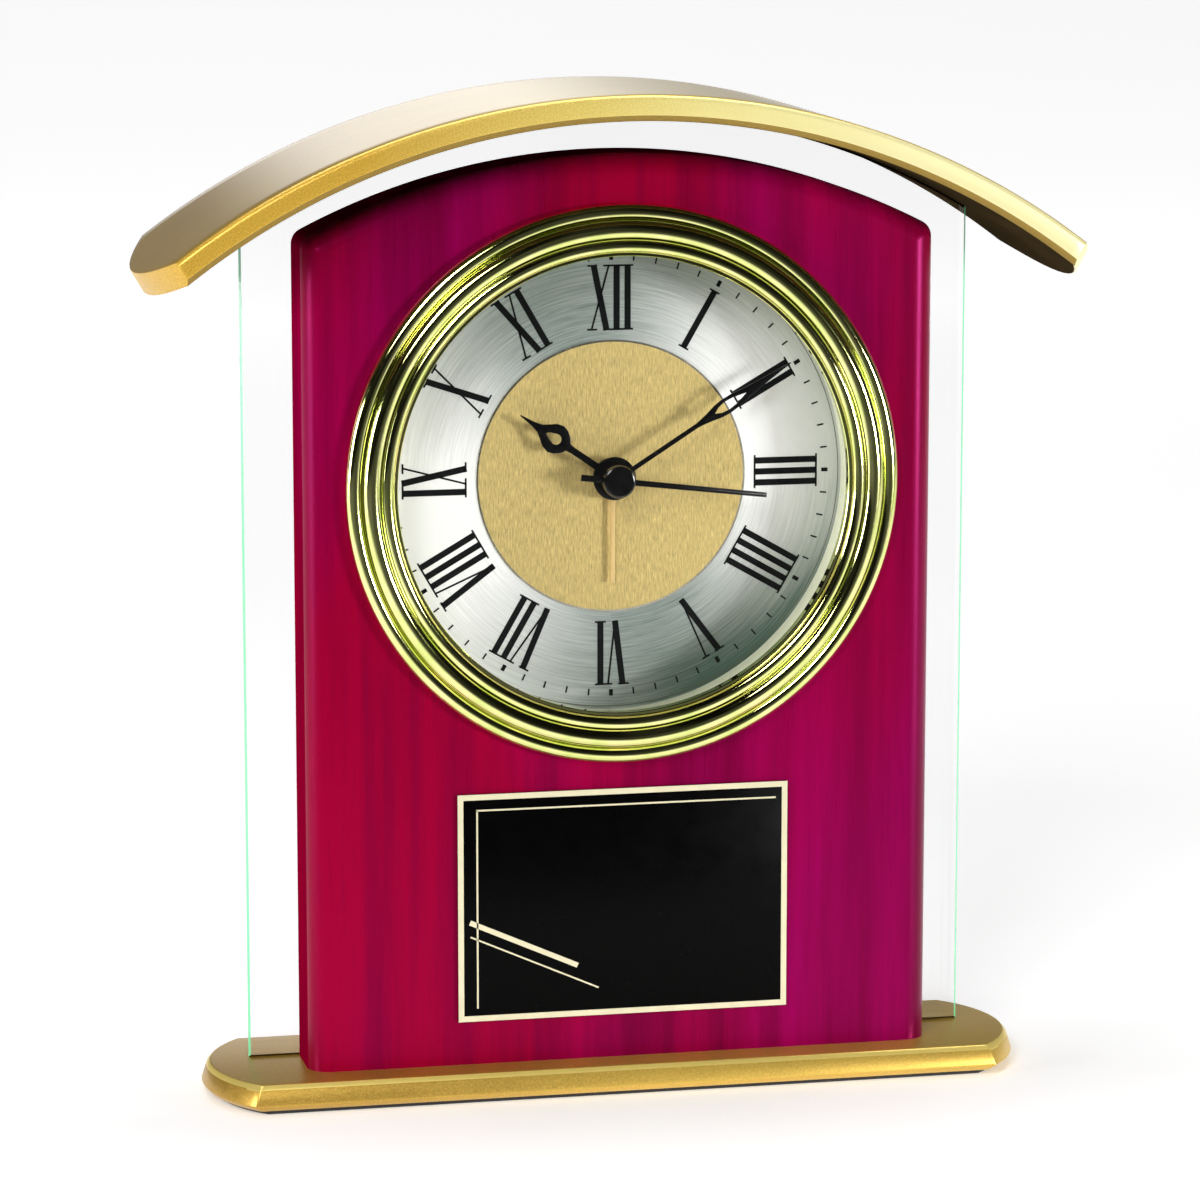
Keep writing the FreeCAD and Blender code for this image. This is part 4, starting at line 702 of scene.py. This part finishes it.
ROOF_FINISHES = ("roof_gold", "roof_underside", "roof_bevel", "roof_front")
ROOF_LEAN = radians(30.0)
ROOF_FLATS = 12
ROOF_STEPS = 96
ROOF_ROUNDING = 0.3 * MM

# How far a face looks out of the curve, as a cosine, on the underside and at both edges of the ends
UNDERSIDE, LOWER_EDGE, UPPER_EDGE = -0.95, -0.3, 0.6
# How far a face looks to the front or back, as a cosine, on the lower bevels and on the front
LOWER_BEVEL, FRONT = 0.3, 0.7


def roof_end(radius, deep, half_depth):
    """Angle at which the roof ends; its ends are round in plan and lean outwards towards the top."""
    size = sizes()
    corner_height = sqrt(size.roof_radius ** 2 - size.roof_corner ** 2)
    reach = size.roof_corner + size.roof_bulge * (1 - (deep / half_depth) ** 2)
    across = reach * cos(ROOF_LEAN) - corner_height * sin(ROOF_LEAN)
    return ROOF_LEAN + asin(across / radius)


# The bevels that face down get painted shade; the front and the ends get painted shade at the left and a
# painted glare at the right
def roof_face(face):
    centre = ROOF_HIGH.z - sizes().roof_radius
    outward = Vector((face.center.x, 0, face.center.z - centre)).normalized()
    rise, aside = face.normal.dot(outward), abs(face.normal.y)
    if rise < UNDERSIDE:
        return "roof_underside"
    if rise < LOWER_EDGE and aside > LOWER_BEVEL:
        return "roof_bevel"
    if face.normal.y < -FRONT or aside < FRONT and LOWER_EDGE < rise < UPPER_EDGE:
        return "roof_front"
    return "roof_gold"


class CLOCK_OT_roof(bpy.types.Operator):
    """Curved roof bar"""
    bl_idname = "clock.roof"
    bl_label = "Roof"

    def execute(self, context):
        size = sizes()
        half_depth = (ROOF_HIGH.y - ROOF_LOW.y) / 2
        outer = size.roof_radius
        inner = outer - size.roof_thick
        top, under = size.roof_bevel, size.roof_under
        places = [2 * index / ROOF_FLATS - 1 for index in range(ROOF_FLATS + 1)]
        section = [(outer, (half_depth - top) * place) for place in places]
        section += [(outer - top, half_depth), (inner + under, half_depth)]
        section += [(inner, (under - half_depth) * place) for place in places]
        section += [(inner + under, -half_depth), (outer - top, -half_depth)]
        ends = [roof_end(radius, deep, half_depth) for radius, deep in section]
        loops = []
        for step in range(ROOF_STEPS + 1):
            loop = []
            for (radius, deep), end in zip(section, ends):
                angle = end * (2 * step / ROOF_STEPS - 1)
                up = ROOF_HIGH.z - outer + radius * cos(angle)
                loop.append(Vector((radius * sin(angle), deep, up)))
            loops.append(loop)
        last = 2 * ROOF_FLATS + 3
        caps = [(index, index + 1, last - index - 1, last - index) for index in range(ROOF_FLATS)]
        caps += [tuple(range(ROOF_FLATS, ROOF_FLATS + 4)), (last, last + 1, last + 2, 0)]
        bar = softened(lofted("roof_bar_finish", loops, caps), ROOF_ROUNDING)
        dress(bar, "stand", "satin_gold", "roof_bar", ROOF_FINISHES, 30.0, roof_face)
        return {"FINISHED"}


SHOULDER_STEPS = 8
ARCH_STEPS = 64


def arched_loop(half_width, low, radius, corner, depth):
    """Outline of a slab with straight sides, rounded shoulders and an arched top."""
    centre = ROOF_HIGH.z - sizes().roof_radius
    across = half_width - corner
    middle = centre + sqrt((radius - corner) ** 2 - across ** 2)
    turn = atan2(across, middle - centre)
    points = [(half_width, low)]
    for step in range(SHOULDER_STEPS + 1):
        part = step / SHOULDER_STEPS
        angle = QUARTER_TURN * (1 - part) + turn * part
        points.append((across + corner * sin(angle), middle + corner * cos(angle)))
    side = list(points)
    for step in range(1, ARCH_STEPS):
        angle = turn * (1 - 2 * step / ARCH_STEPS)
        points.append((radius * sin(angle), centre + radius * cos(angle)))
    points += [(-x, up) for x, up in reversed(side)]
    return [Vector((x, depth, up)) for x, up in points]


EDGE_STEPS = 12
WOOD_GLASS_GAP = 0.05 * MM

# How far a face looks to the back, as a cosine, from where the wood is dull
WOOD_SIDE = -0.2


def wood_face(face):
    return "rosewood_side" if face.normal.y > WOOD_SIDE else "rosewood"


class CLOCK_OT_wood(bpy.types.Operator):
    """Arched wood block with rounded front edges"""
    bl_idname = "clock.wood"
    bl_label = "Wood"

    def execute(self, context):
        size = sizes()
        radius = size.roof_radius - size.roof_thick - size.wood_gap
        levels = [(0.0, WOOD_HIGH.y - WOOD_GLASS_GAP)]
        for step in range(EDGE_STEPS + 1):
            angle = QUARTER_TURN * step / EDGE_STEPS
            levels.append((size.wood_edge * (1 - cos(angle)), WOOD_LOW.y + size.wood_edge * (1 - sin(angle))))
        loops = []
        for inset, depth in levels:
            corner = max(size.wood_corner - inset, size.wood_corner / 3)
            loops.append(arched_loop(WOOD_HIGH.x - inset, WOOD_LOW.z, radius - inset, corner, depth))
        dress(bored(lofted("wood_block_finish", loops)), "stand", "rosewood", "wood_block",
              ("rosewood", "rosewood_side"), 40.0, wood_face)
        return {"FINISHED"}


GLASS_ROOF_GAP = 0.06 * MM
GLASS_CORNER = 0.5 * MM

# How far a face looks to the back, as a cosine, on the front bevels; past the other up or down, it is painted
# dark as painted shade
FRONT_BEVEL = (-0.9, -0.1)
LEVEL_BEVEL = 0.5


def glass_face(face):
    """Clear all over, but for the green front bevels and the ones at the top and foot, painted dark as
    painted shade.
    """
    if not FRONT_BEVEL[0] < face.normal.y < FRONT_BEVEL[1]:
        return "clear_glass"
    return "glass_foot" if abs(face.normal.z) > LEVEL_BEVEL else "glass_edge"


class CLOCK_OT_glass(bpy.types.Operator):
    """Clear glass panel with ground edges"""
    bl_idname = "clock.glass"
    bl_label = "Glass"

    def execute(self, context):
        size = sizes()
        radius = size.roof_radius - size.roof_thick - GLASS_ROOF_GAP
        loops = [arched_loop(GLASS_HIGH.x - inset, GLASS_LOW.z + inset, radius - inset, GLASS_CORNER, depth)
                 for inset, depth in bevelled(GLASS_LOW.y, GLASS_HIGH.y, size.glass_bevel)]
        dress(bored(lofted("glass_panel_finish", loops)), "stand", "clear_glass", "glass_panel",
              ("clear_glass", "glass_edge", "glass_foot"), 20.0, glass_face)
        return {"FINISHED"}


PLATE_ROUNDING = 0.08 * MM
BORDER_RISE = 0.1 * MM
LINE_RISE = 0.04 * MM
LINE_SINK = 0.01 * MM
LINE_WIDTH = 0.32 * MM
LINE_INSET = 3.6 * MM
LINE_FOOT = 2.4 * MM
LINE_DROP = 3.0 * MM
LINE_END = 2.2 * MM

# Both ends of each slanting stroke, from the lower left corner of the plate, and its width, in millimetres
SLANTS = {
    "plate_stroke_bold": ((2.2, 18.6), (22.3, 9.6), 0.95),
    "plate_stroke_fine": ((2.3, 15.9), (26.2, 5.2), 0.3),
}


class CLOCK_OT_plate(bpy.types.Operator):
    """Engraving plate with its border and a few plain lines"""
    bl_idname = "clock.plate"
    bl_label = "Plate"

    def execute(self, context):
        left, right, low, high = PLATE_LOW.x, PLATE_HIGH.x, PLATE_LOW.z, PLATE_HIGH.z
        face = PLATE_LOW.y
        outside = rectangle(left, right, low, high)
        plate = softened(flat_piece("engraving_plate_finish", [outside], face, PLATE_HIGH.y), PLATE_ROUNDING)
        dress(plate, "stand", "black_plate", "engraving_plate")
        inset = sizes().border
        window = rectangle(left + inset, right - inset, low + inset, high - inset)
        border = flat_piece("plate_border_finish", [outside, window], face - BORDER_RISE, face)
        dress(border, "stand", "cream_line", "plate_border")
        upright, crossing = left + LINE_INSET, high - LINE_DROP
        lines = {
            "plate_line_upright": stroke((upright, low + LINE_FOOT), (upright, crossing), LINE_WIDTH),
            "plate_line_across": stroke((upright - LINE_WIDTH / 2, crossing), (right - LINE_END, crossing),
                                        LINE_WIDTH),
        }
        for name, (start, end, width) in SLANTS.items():
            places = [(left + x * MM, low + up * MM) for x, up in (start, end)]
            lines[name] = stroke(*places, width * MM)
        for name, outline in lines.items():
            dress(flat_piece(name, [outline], face - LINE_RISE, face + LINE_SINK), "stand", "cream_line")
        return {"FINISHED"}


# The insert

# Radius and rise from the wood where the beads of the bezel meet, in millimetres, from its side to its lip
BEAD_SIDE_RISE = 0.8
BEAD_MEETINGS = ((48.3, 1.9), (44.8, 2.6), (42.3, 1.9))
OUTER_CREST, INNER_CREST = 2.6, 3.3
BEAD_STEPS = (20, 22, 20)
BEZEL_STEPS = 320
LIP_BEVEL = 0.12 * MM


class CLOCK_OT_bezel(bpy.types.Operator):
    """Polished bezel with three beads"""
    bl_idname = "clock.bezel"
    bl_label = "Bezel"

    def execute(self, context):
        back, opening, outer = BEZEL_HIGH.y, sizes().lip, half_height(BEZEL_LOW, BEZEL_HIGH)
        meetings = [(outer, back - BEAD_SIDE_RISE * MM)]
        meetings += [(radius * MM, back - rise * MM) for radius, rise in BEAD_MEETINGS]
        crests = (back - OUTER_CREST * MM, BEZEL_LOW.y, back - INNER_CREST * MM)
        outline = [(outer, back)]
        for start, end, crest, steps in zip(meetings, meetings[1:], crests, BEAD_STEPS):
            outline += arc_points(start, ((start[0] + end[0]) / 2, crest), end, steps)[:-1]
        lip = meetings[-1]
        outline += [lip, (opening + LIP_BEVEL, lip[1]), (opening, lip[1] + LIP_BEVEL), (opening, back)]
        ring = turned("bezel_ring_finish", outline, BEZEL_STEPS)
        dress(ring, "stand", "polished_gold", "bezel_ring", angle=40.0)
        return {"FINISHED"}


CRYSTAL_BEVEL = 0.2 * MM
CRYSTAL_STEPS = 192
REFLECTOR_BACK_WIDTH = 1.5 * MM
REFLECTOR_FRONT_WIDTH = 2.2 * MM


class CLOCK_OT_crystal(bpy.types.Operator):
    """Crystal and the reflector behind it"""
    bl_idname = "clock.crystal"
    bl_label = "Crystal"

    def execute(self, context):
        radius = half_height(CRYSTAL_LOW, CRYSTAL_HIGH)
        loops = [[Vector((x, depth, AXIS_HEIGHT + up)) for x, up in circle(radius - inset, CRYSTAL_STEPS)]
                 for inset, depth in bevelled(CRYSTAL_LOW.y, CRYSTAL_HIGH.y, CRYSTAL_BEVEL)]
        dress(lofted("crystal_finish", loops), "stand", "crystal", "crystal", angle=20.0)
        outer = half_height(REFLECTOR_LOW, REFLECTOR_HIGH)
        front, back = REFLECTOR_LOW.y, REFLECTOR_HIGH.y
        outline = [(outer, front), (outer, back), (outer - REFLECTOR_BACK_WIDTH, back),
                   (outer - REFLECTOR_FRONT_WIDTH, front)]
        dress(turned("reflector_ring_finish", outline), "stand", "reflector", "reflector_ring")
        return {"FINISHED"}


DIAL_HOLE = 3.45 * MM
DISC_RIM = 0.35 * MM
RIM_RISE = 0.03 * MM


class CLOCK_OT_dial(bpy.types.Operator):
    """Spun silver dial with its gold disc"""
    bl_idname = "clock.dial"
    bl_label = "Dial"

    def execute(self, context):
        outline = rectangle(DIAL_HOLE, half_height(DIAL_LOW, DIAL_HIGH), DIAL_LOW.y, DIAL_HIGH.y)
        dress(turned("dial_plate_finish", outline), "stand", "dial_silver", "dial_plate")
        outer, front, back = half_height(DISC_LOW, DISC_HIGH), DISC_LOW.y, DISC_HIGH.y
        inner = outer - DISC_RIM
        disc = turned("dial_centre_finish", rectangle(DIAL_HOLE, inner, front, back))
        dress(disc, "stand", "dial_gold", "dial_centre")
        outline = [(inner, front - RIM_RISE), (outer, front), (outer, back), (inner, back)]
        dress(turned("dial_centre_rim", outline), "stand", "dial_gold", finishes=("disc_rim",))
        return {"FINISHED"}


NUMERALS = ("XII", "I", "II", "III", "IIII", "V", "VI", "VII", "VIII", "IX", "X", "XI")
STEM = 1.15 * MM
HAIR = 0.34 * MM
SERIF = 0.34 * MM
STEM_MARGIN = 0.25 * MM
LETTER_WIDTH = {"I": 2.05 * MM, "V": 4.0 * MM, "X": 4.1 * MM}
INK_RISE = 0.05 * MM
STAGGER = 1e-8

# How far the serifs reach in, as shares of the inset of the stem
V_SERIFS = (2.0, 1.5)
X_SERIF = 1.8

# Half the width and half the length of the marks
HOUR_MARK = (0.36 * MM, 0.6 * MM)
MINUTE_MARK = (0.15 * MM, 0.62 * MM)
LINE_HALF = 0.06 * MM


def letter_strokes(letter, left, low, high):
    """Strokes of one letter, upright, with thin serifs at head and foot."""
    right = left + LETTER_WIDTH[letter]
    middle = (left + right) / 2
    inset = STEM / 2 + STEM_MARGIN
    foot, head = low + SERIF / 2, high - SERIF / 2
    if letter == "I":
        stems = [((middle, low), (middle, high), STEM)]
        serifs = [(left, right, foot), (left, right, head)]
    elif letter == "V":
        point = (middle + STEM / 4, low)
        stems = [((left + inset, high), point, STEM), ((right - inset / 2, high), point, HAIR)]
        thick, thin = (reach * inset for reach in V_SERIFS)
        serifs = [(left - HAIR, left + thick, head), (right - thin, right + HAIR, head)]
    else:
        stems = [((left + inset, high), (right - inset, low), STEM)]
        stems.append(((right - inset / 2, high), (left + inset / 2, low), HAIR))
        spans = ((left - HAIR, left + X_SERIF * inset), (right - X_SERIF * inset, right + HAIR))
        serifs = [(*span, height) for height in (foot, head) for span in spans]
    strokes = [stroke(*stem) for stem in stems]
    return strokes + [stroke((start, height), (end, height), SERIF) for start, end, height in serifs]


def dial_print(name, outlines, angles):
    """Small outlines on the dial as one mesh, each turned to its own angle and just clear of the last."""
    whole = bmesh.new()
    for index, (outline, angle) in enumerate(zip(outlines, angles)):
        front = DIAL_LOW.y - INK_RISE - index * STAGGER
        part = flat_piece(name, [placed_round(outline, angle)], front, DIAL_LOW.y)
        whole.from_mesh(part.data)
        bpy.data.objects.remove(part)
    mesh = bpy.data.meshes.new(name)
    whole.to_mesh(mesh)
    whole.free()
    dress(bpy.data.objects.new(name, mesh), "stand", "hand_black", finishes=("dial_ink",))


class CLOCK_OT_numerals(bpy.types.Operator):
    """Roman numerals, minute marks and the fine line round them"""
    bl_idname = "clock.numerals"
    bl_label = "Numerals"

    def execute(self, context):
        size = sizes()
        for hour, text in enumerate(NUMERALS):
            left = -sum(LETTER_WIDTH[letter] for letter in text) / 2
            outlines = []
            for letter in text:
                outlines += letter_strokes(letter, left, size.numeral_low, size.numeral_high)
                left += LETTER_WIDTH[letter]
            dial_print(f"numeral_{hour or 12}", outlines, [FULL_TURN * hour / 12] * len(outlines))
        marks = []
        for minute in range(60):
            half, reach = MINUTE_MARK if minute % 5 else HOUR_MARK
            marks.append(rectangle(-half, half, size.tick_radius - reach, size.tick_radius + reach))
        dial_print("minute_marks", marks, [FULL_TURN * minute / 60 for minute in range(60)])
        radius = size.line_radius
        outline = rectangle(radius - LINE_HALF, radius + LINE_HALF, DIAL_LOW.y - INK_RISE, DIAL_LOW.y)
        dress(turned("dial_line", outline), "stand", "hand_black", finishes=("dial_line",))
        return {"FINISHED"}


# Hands, with their places sideways and outward from the axis in millimetres

HOUR_TURN = radians(304.8)
MINUTE_TURN = radians(57.6)
SECOND_TURN = radians(97.0)
ALARM_TURN = radians(180.0)
HAND_ROUNDING = 0.06 * MM
NEEDLE_ROUNDING = 0.05 * MM
ON_MIDDLE = 1e-6

HOUR_HUB, HOUR_BORE = 4.0, 1.2
MINUTE_HUB, MINUTE_BORE = 2.9, 0.55
ALARM_HUB, ALARM_BORE = 3.2, 1.9
HUB_ARC = (180.0, 10.0, 17)
ALARM_ARC = (172.0, 8.6, 20)
HOUR_SIDE = [(0.65, 3.95), (0.62, 9.5), (0.75, 10.55), (1.65, 11.15), (2.45, 12.2), (2.8, 13.4), (2.45, 14.7),
             (1.55, 15.9), (0.8, 17.0), (0.42, 18.6), (0.1, 21.3)]
HOUR_EYE_RADIUS, HOUR_EYE_PLACE, HOUR_EYE_POINT = 0.98, 13.25, 1.2
MINUTE_SIDE = [(0.45, 2.9), (0.42, 18.0), (0.8, 20.3), (1.32, 22.4), (1.5, 24.2), (1.38, 26.4), (0.9, 29.6),
               (0.5, 33.5), (0.1, 38.6)]
MINUTE_EYE = [(0.0, 21.7), (0.6, 22.9), (0.85, 24.4), (0.7, 26.2), (0.0, 28.8)]
ALARM_SIDE = [(0.42, 3.2), (0.38, 19.6)]
NEEDLE_SIDE = [(0.6, -7.0), (0.55, 0.0), (0.44, 28.0)]
NEEDLE_THICK = 0.3 * MM

# The cap on the axis: its edge as insets and drops from its rim, and the grooves turned in its top
CAP_RADIUS = 3.0
CAP_LIFT = 0.05
CAP_EDGE = [(0.0, 0.5), (0.12, 0.2), (0.4, 0.02)]
GROOVE = [(0.0, 0.02), (0.1, 0.16), (0.22, 0.16), (0.32, 0.02)]
GROOVES, FIRST_GROOVE, GROOVE_PITCH = 5, 0.55, 0.42
CAP_MIDDLE = 0.0001
CAP_STEPS = 128
EYE_STEPS = 36


def hub(radius, first, turn, count):
    """Places round the hub of a hand, in even turns in degrees from its tail to its right side."""
    angles = [radians(first - turn * step) for step in range(count)]
    return [(radius * sin(angle), radius * cos(angle)) for angle in angles]


def mirrored(right):
    """A closed outline in metres, from places down its right side."""
    left = [(-x, out) for x, out in reversed(right) if x > ON_MIDDLE]
    return [(x * MM, out * MM) for x, out in right + left]


def hour_eye():
    """A round eye drawn out to a point."""
    drop = []
    for x, out in circle(HOUR_EYE_RADIUS, EYE_STEPS):
        stretch = 1 + HOUR_EYE_POINT * max(0.0, out / HOUR_EYE_RADIUS) ** 3
        drop.append((x * MM, (HOUR_EYE_PLACE + out * stretch) * MM))
    return drop


class CLOCK_OT_hands(bpy.types.Operator):
    """Hour, minute, second and alarm hands"""
    bl_idname = "clock.hands"
    bl_label = "Hands"

    def hand(self, name, loops, angle, body, slot):
        low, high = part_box(name)
        loops = [placed_round(loop, angle) for loop in loops]
        piece = softened(flat_piece(name + "_finish", loops, low.y, high.y), HAND_ROUNDING)
        dress(piece, body, slot, name)

    def second_hand(self):
        low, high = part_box("second_hand")
        front = high.y - NEEDLE_THICK
        points = placed_round(mirrored(NEEDLE_SIDE), SECOND_TURN)
        needle = softened(flat_piece("second_hand_finish", [points], front, high.y), NEEDLE_ROUNDING)
        dress(needle, "seconds", "hand_black", "second_hand")
        foot = (front - low.y) / MM + CAP_LIFT
        outline = [(CAP_MIDDLE, foot), (CAP_RADIUS, foot)]
        outline += [(CAP_RADIUS - inset, drop) for inset, drop in CAP_EDGE]
        for index in range(GROOVES):
            crest = CAP_RADIUS - FIRST_GROOVE - GROOVE_PITCH * index
            outline += [(crest - inset, drop) for inset, drop in GROOVE]
        outline.append((CAP_MIDDLE, 0.0))
        outline = [(radius * MM, low.y + drop * MM) for radius, drop in outline]
        dress(turned("second_hand_cap", outline, CAP_STEPS), "seconds", "hand_black", finishes=("cap_black",))

    def execute(self, context):
        hour = [mirrored(hub(HOUR_HUB, *HUB_ARC) + HOUR_SIDE), circle(HOUR_BORE * MM), hour_eye()]
        minute = [mirrored(hub(MINUTE_HUB, *HUB_ARC) + MINUTE_SIDE), circle(MINUTE_BORE * MM),
                  mirrored(MINUTE_EYE)]
        alarm = [mirrored(hub(ALARM_HUB, *ALARM_ARC) + ALARM_SIDE), circle(ALARM_BORE * MM)]
        self.hand("hour_hand", hour, HOUR_TURN, "hours", "hand_black")
        self.hand("minute_hand", minute, MINUTE_TURN, "minutes", "hand_black")
        self.hand("alarm_hand", alarm, ALARM_TURN, "alarm", "hand_gold")
        self.second_hand()
        return {"FINISHED"}


class CLOCK_OT_movement(bpy.types.Operator):
    """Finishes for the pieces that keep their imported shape"""
    bl_idname = "clock.movement"
    bl_label = "Movement"

    def execute(self, context):
        slots = {part["node"]: part["material_slot"] for part in frame["record"]["subparts"]}
        for node, piece in frame["nodes"].items():
            piece.data.materials.clear()
            piece.data.materials.append(material(slots[node]))
        return {"FINISHED"}


# The stage

CAMERA_AZIMUTH = radians(-12.068)
CAMERA_HEIGHT = radians(9.997)
CAMERA_DISTANCE = 0.9112
CAMERA_TARGET = Vector((-0.676, 6.5, 88.46)) * MM
CAMERA_FOCUS_PIXELS = 4917.3
PHOTO_PIXELS = 1200.0
SENSOR = 36.0

# Far corners of the floor, the depths between which it turns from dark to pale, and those over which its
# painted glow grows to white
FLOOR_FRONT, FLOOR_BACK, FLOOR_HALF = -3, 6, 3
FLOOR_DARK_TO_PALE = (-0.36, -0.105)
FLOOR_GLOW_RISE = (0.1, 1.2)
FLOOR_GLOW = 0.85

# Direction, its range and the strength of the world at both ends: dark room in front, ceiling, and both sides
SWEEPS = ((DEEP, -0.15, 0.35, 0.06, 1.3), (UP, 0.2, 0.34, 1.0, 0.3), (ACROSS, -0.04, 0.06, 0.12, 1.0),
          (ACROSS, 0.15, 0.26, 1.0, 0.3))

# Place, width, height and power of each lamp
LAMP_AIM = Vector((0.0, 0.0, 0.1))
LAMPS = {
    "key_light": ((-0.55, -0.95, 0.75), 0.4, 0.5, 8.0),
    "side_light": ((-1.1, -0.3, 0.2), 0.35, 0.38, 6.0),
    "low_light": ((0.8, -0.75, 0.09), 0.26, 0.26, 10.0),
    "top_light": ((0.0, 0.1, 1.1), 1.0, 0.35, 6.0),
}


def grey(level):
    return (level, level, level)


class CLOCK_OT_stage(bpy.types.Operator):
    """Floor, lights, world and camera"""
    bl_idname = "clock.stage"
    bl_label = "Stage"

    def floor(self):
        """A pale floor that darkens in front of the clock, for its polished front to mirror, and glows, more
        towards the back, as painted light.
        """
        finish = Finish("floor")
        depth = finish.axis(DEEP)
        near = finish.map(depth, *FLOOR_DARK_TO_PALE, curve="SMOOTHSTEP")
        pale = finish.mix(finish.noise(3.0), grey(0.93), grey(0.96))
        # Painted light: the floor glows where it is pale, more towards the back
        glow = finish.mix(finish.map(depth, *FLOOR_GLOW_RISE), grey(0.4), grey(1.0))
        finish.set(Base_Color=finish.mix(near, grey(0.05), pale), Roughness=0.7)
        finish.set(Emission_Color=finish.mix(near, grey(0.0), glow), Emission_Strength=FLOOR_GLOW)
        corners = rectangle(-FLOOR_HALF, FLOOR_HALF, FLOOR_FRONT, FLOOR_BACK)
        plane = mesh_object("floor", [(x, y, 0) for x, y in corners], [(0, 1, 2, 3)])
        plane.data.materials.append(finish.material)
        show(plane)

    def sky(self):
        """A white sweep behind, a grey ceiling and a dark room in front."""
        world = bpy.data.worlds.new("studio")
        world.use_nodes = True
        nodes = Nodes(world.node_tree)
        front, ceiling, left, right = (nodes.map(nodes.axis(axis, "Generated"), *ends, curve="SMOOTHSTEP")
                                       for axis, *ends in SWEEPS)
        background = world.node_tree.nodes["Background"]
        nodes.connect(background.inputs["Color"], grey(1.0))
        nodes.connect(background.inputs["Strength"], front * ceiling * left * right)
        bpy.context.scene.world = world

    def lamp(self, name, place, width, height, power):
        light = bpy.data.lights.new(name, "AREA")
        light.shape = "RECTANGLE"
        light.size = width
        light.size_y = height
        light.energy = power
        lamp = bpy.data.objects.new(name, light)
        lamp.location = place
        lamp.rotation_euler = (LAMP_AIM - Vector(place)).to_track_quat("-Z", "Y").to_euler()
        show(lamp)

    def camera(self):
        camera = bpy.data.cameras.new("camera")
        camera.sensor_width = SENSOR
        camera.lens = CAMERA_FOCUS_PIXELS / PHOTO_PIXELS * SENSOR
        camera.clip_start = 10 * MM
        eye = bpy.data.objects.new("camera", camera)
        level = cos(CAMERA_HEIGHT)
        away = Vector((sin(CAMERA_AZIMUTH) * level, -cos(CAMERA_AZIMUTH) * level, sin(CAMERA_HEIGHT)))
        eye.location = CAMERA_TARGET + away * CAMERA_DISTANCE
        eye.rotation_euler = (-away).to_track_quat("-Z", "Y").to_euler()
        show(eye)
        bpy.context.scene.camera = eye

    def execute(self, context):
        self.floor()
        self.sky()
        self.camera()
        for name, values in LAMPS.items():
            self.lamp(name, *values)
        bpy.context.scene.view_settings.view_transform = "Standard"
        return {"FINISHED"}


OPERATORS = (CLOCK_OT_base, CLOCK_OT_roof, CLOCK_OT_wood, CLOCK_OT_glass, CLOCK_OT_plate, CLOCK_OT_bezel,
             CLOCK_OT_crystal, CLOCK_OT_dial, CLOCK_OT_numerals, CLOCK_OT_hands, CLOCK_OT_movement,
             CLOCK_OT_stage)


class CLOCK_PT_panel(bpy.types.Panel):
    """Lists the pieces of the clock"""
    bl_idname = "CLOCK_PT_panel"
    bl_label = "Desk clock"
    bl_space_type = "VIEW_3D"
    bl_region_type = "UI"
    bl_category = "Clock"

    def draw(self, context):
        for operator in OPERATORS:
            self.layout.operator(operator.bl_idname)
        for group in (sizes(), colours()):
            for name in group.bl_rna.properties.keys():
                if name not in ("rna_type", "name"):
                    self.layout.prop(group, name)


CLASSES = (ClockSizes, ClockColours, *OPERATORS, CLOCK_PT_panel)


def register():
    for item in CLASSES:
        bpy.utils.register_class(item)
    bpy.types.Scene.clock_sizes = bpy.props.PointerProperty(type=ClockSizes)
    bpy.types.Scene.clock_colours = bpy.props.PointerProperty(type=ClockColours)


def unregister():
    del bpy.types.Scene.clock_colours
    del bpy.types.Scene.clock_sizes
    for item in reversed(CLASSES):
        bpy.utils.unregister_class(item)


def main():
    register()
    bpy.ops.clock.base()
    bpy.ops.clock.roof()
    bpy.ops.clock.wood()
    bpy.ops.clock.glass()
    bpy.ops.clock.plate()
    bpy.ops.clock.bezel()
    bpy.ops.clock.crystal()
    bpy.ops.clock.dial()
    bpy.ops.clock.numerals()
    bpy.ops.clock.hands()
    bpy.ops.clock.movement()
    bpy.ops.clock.stage()


if __name__ == "__main__":
    main()
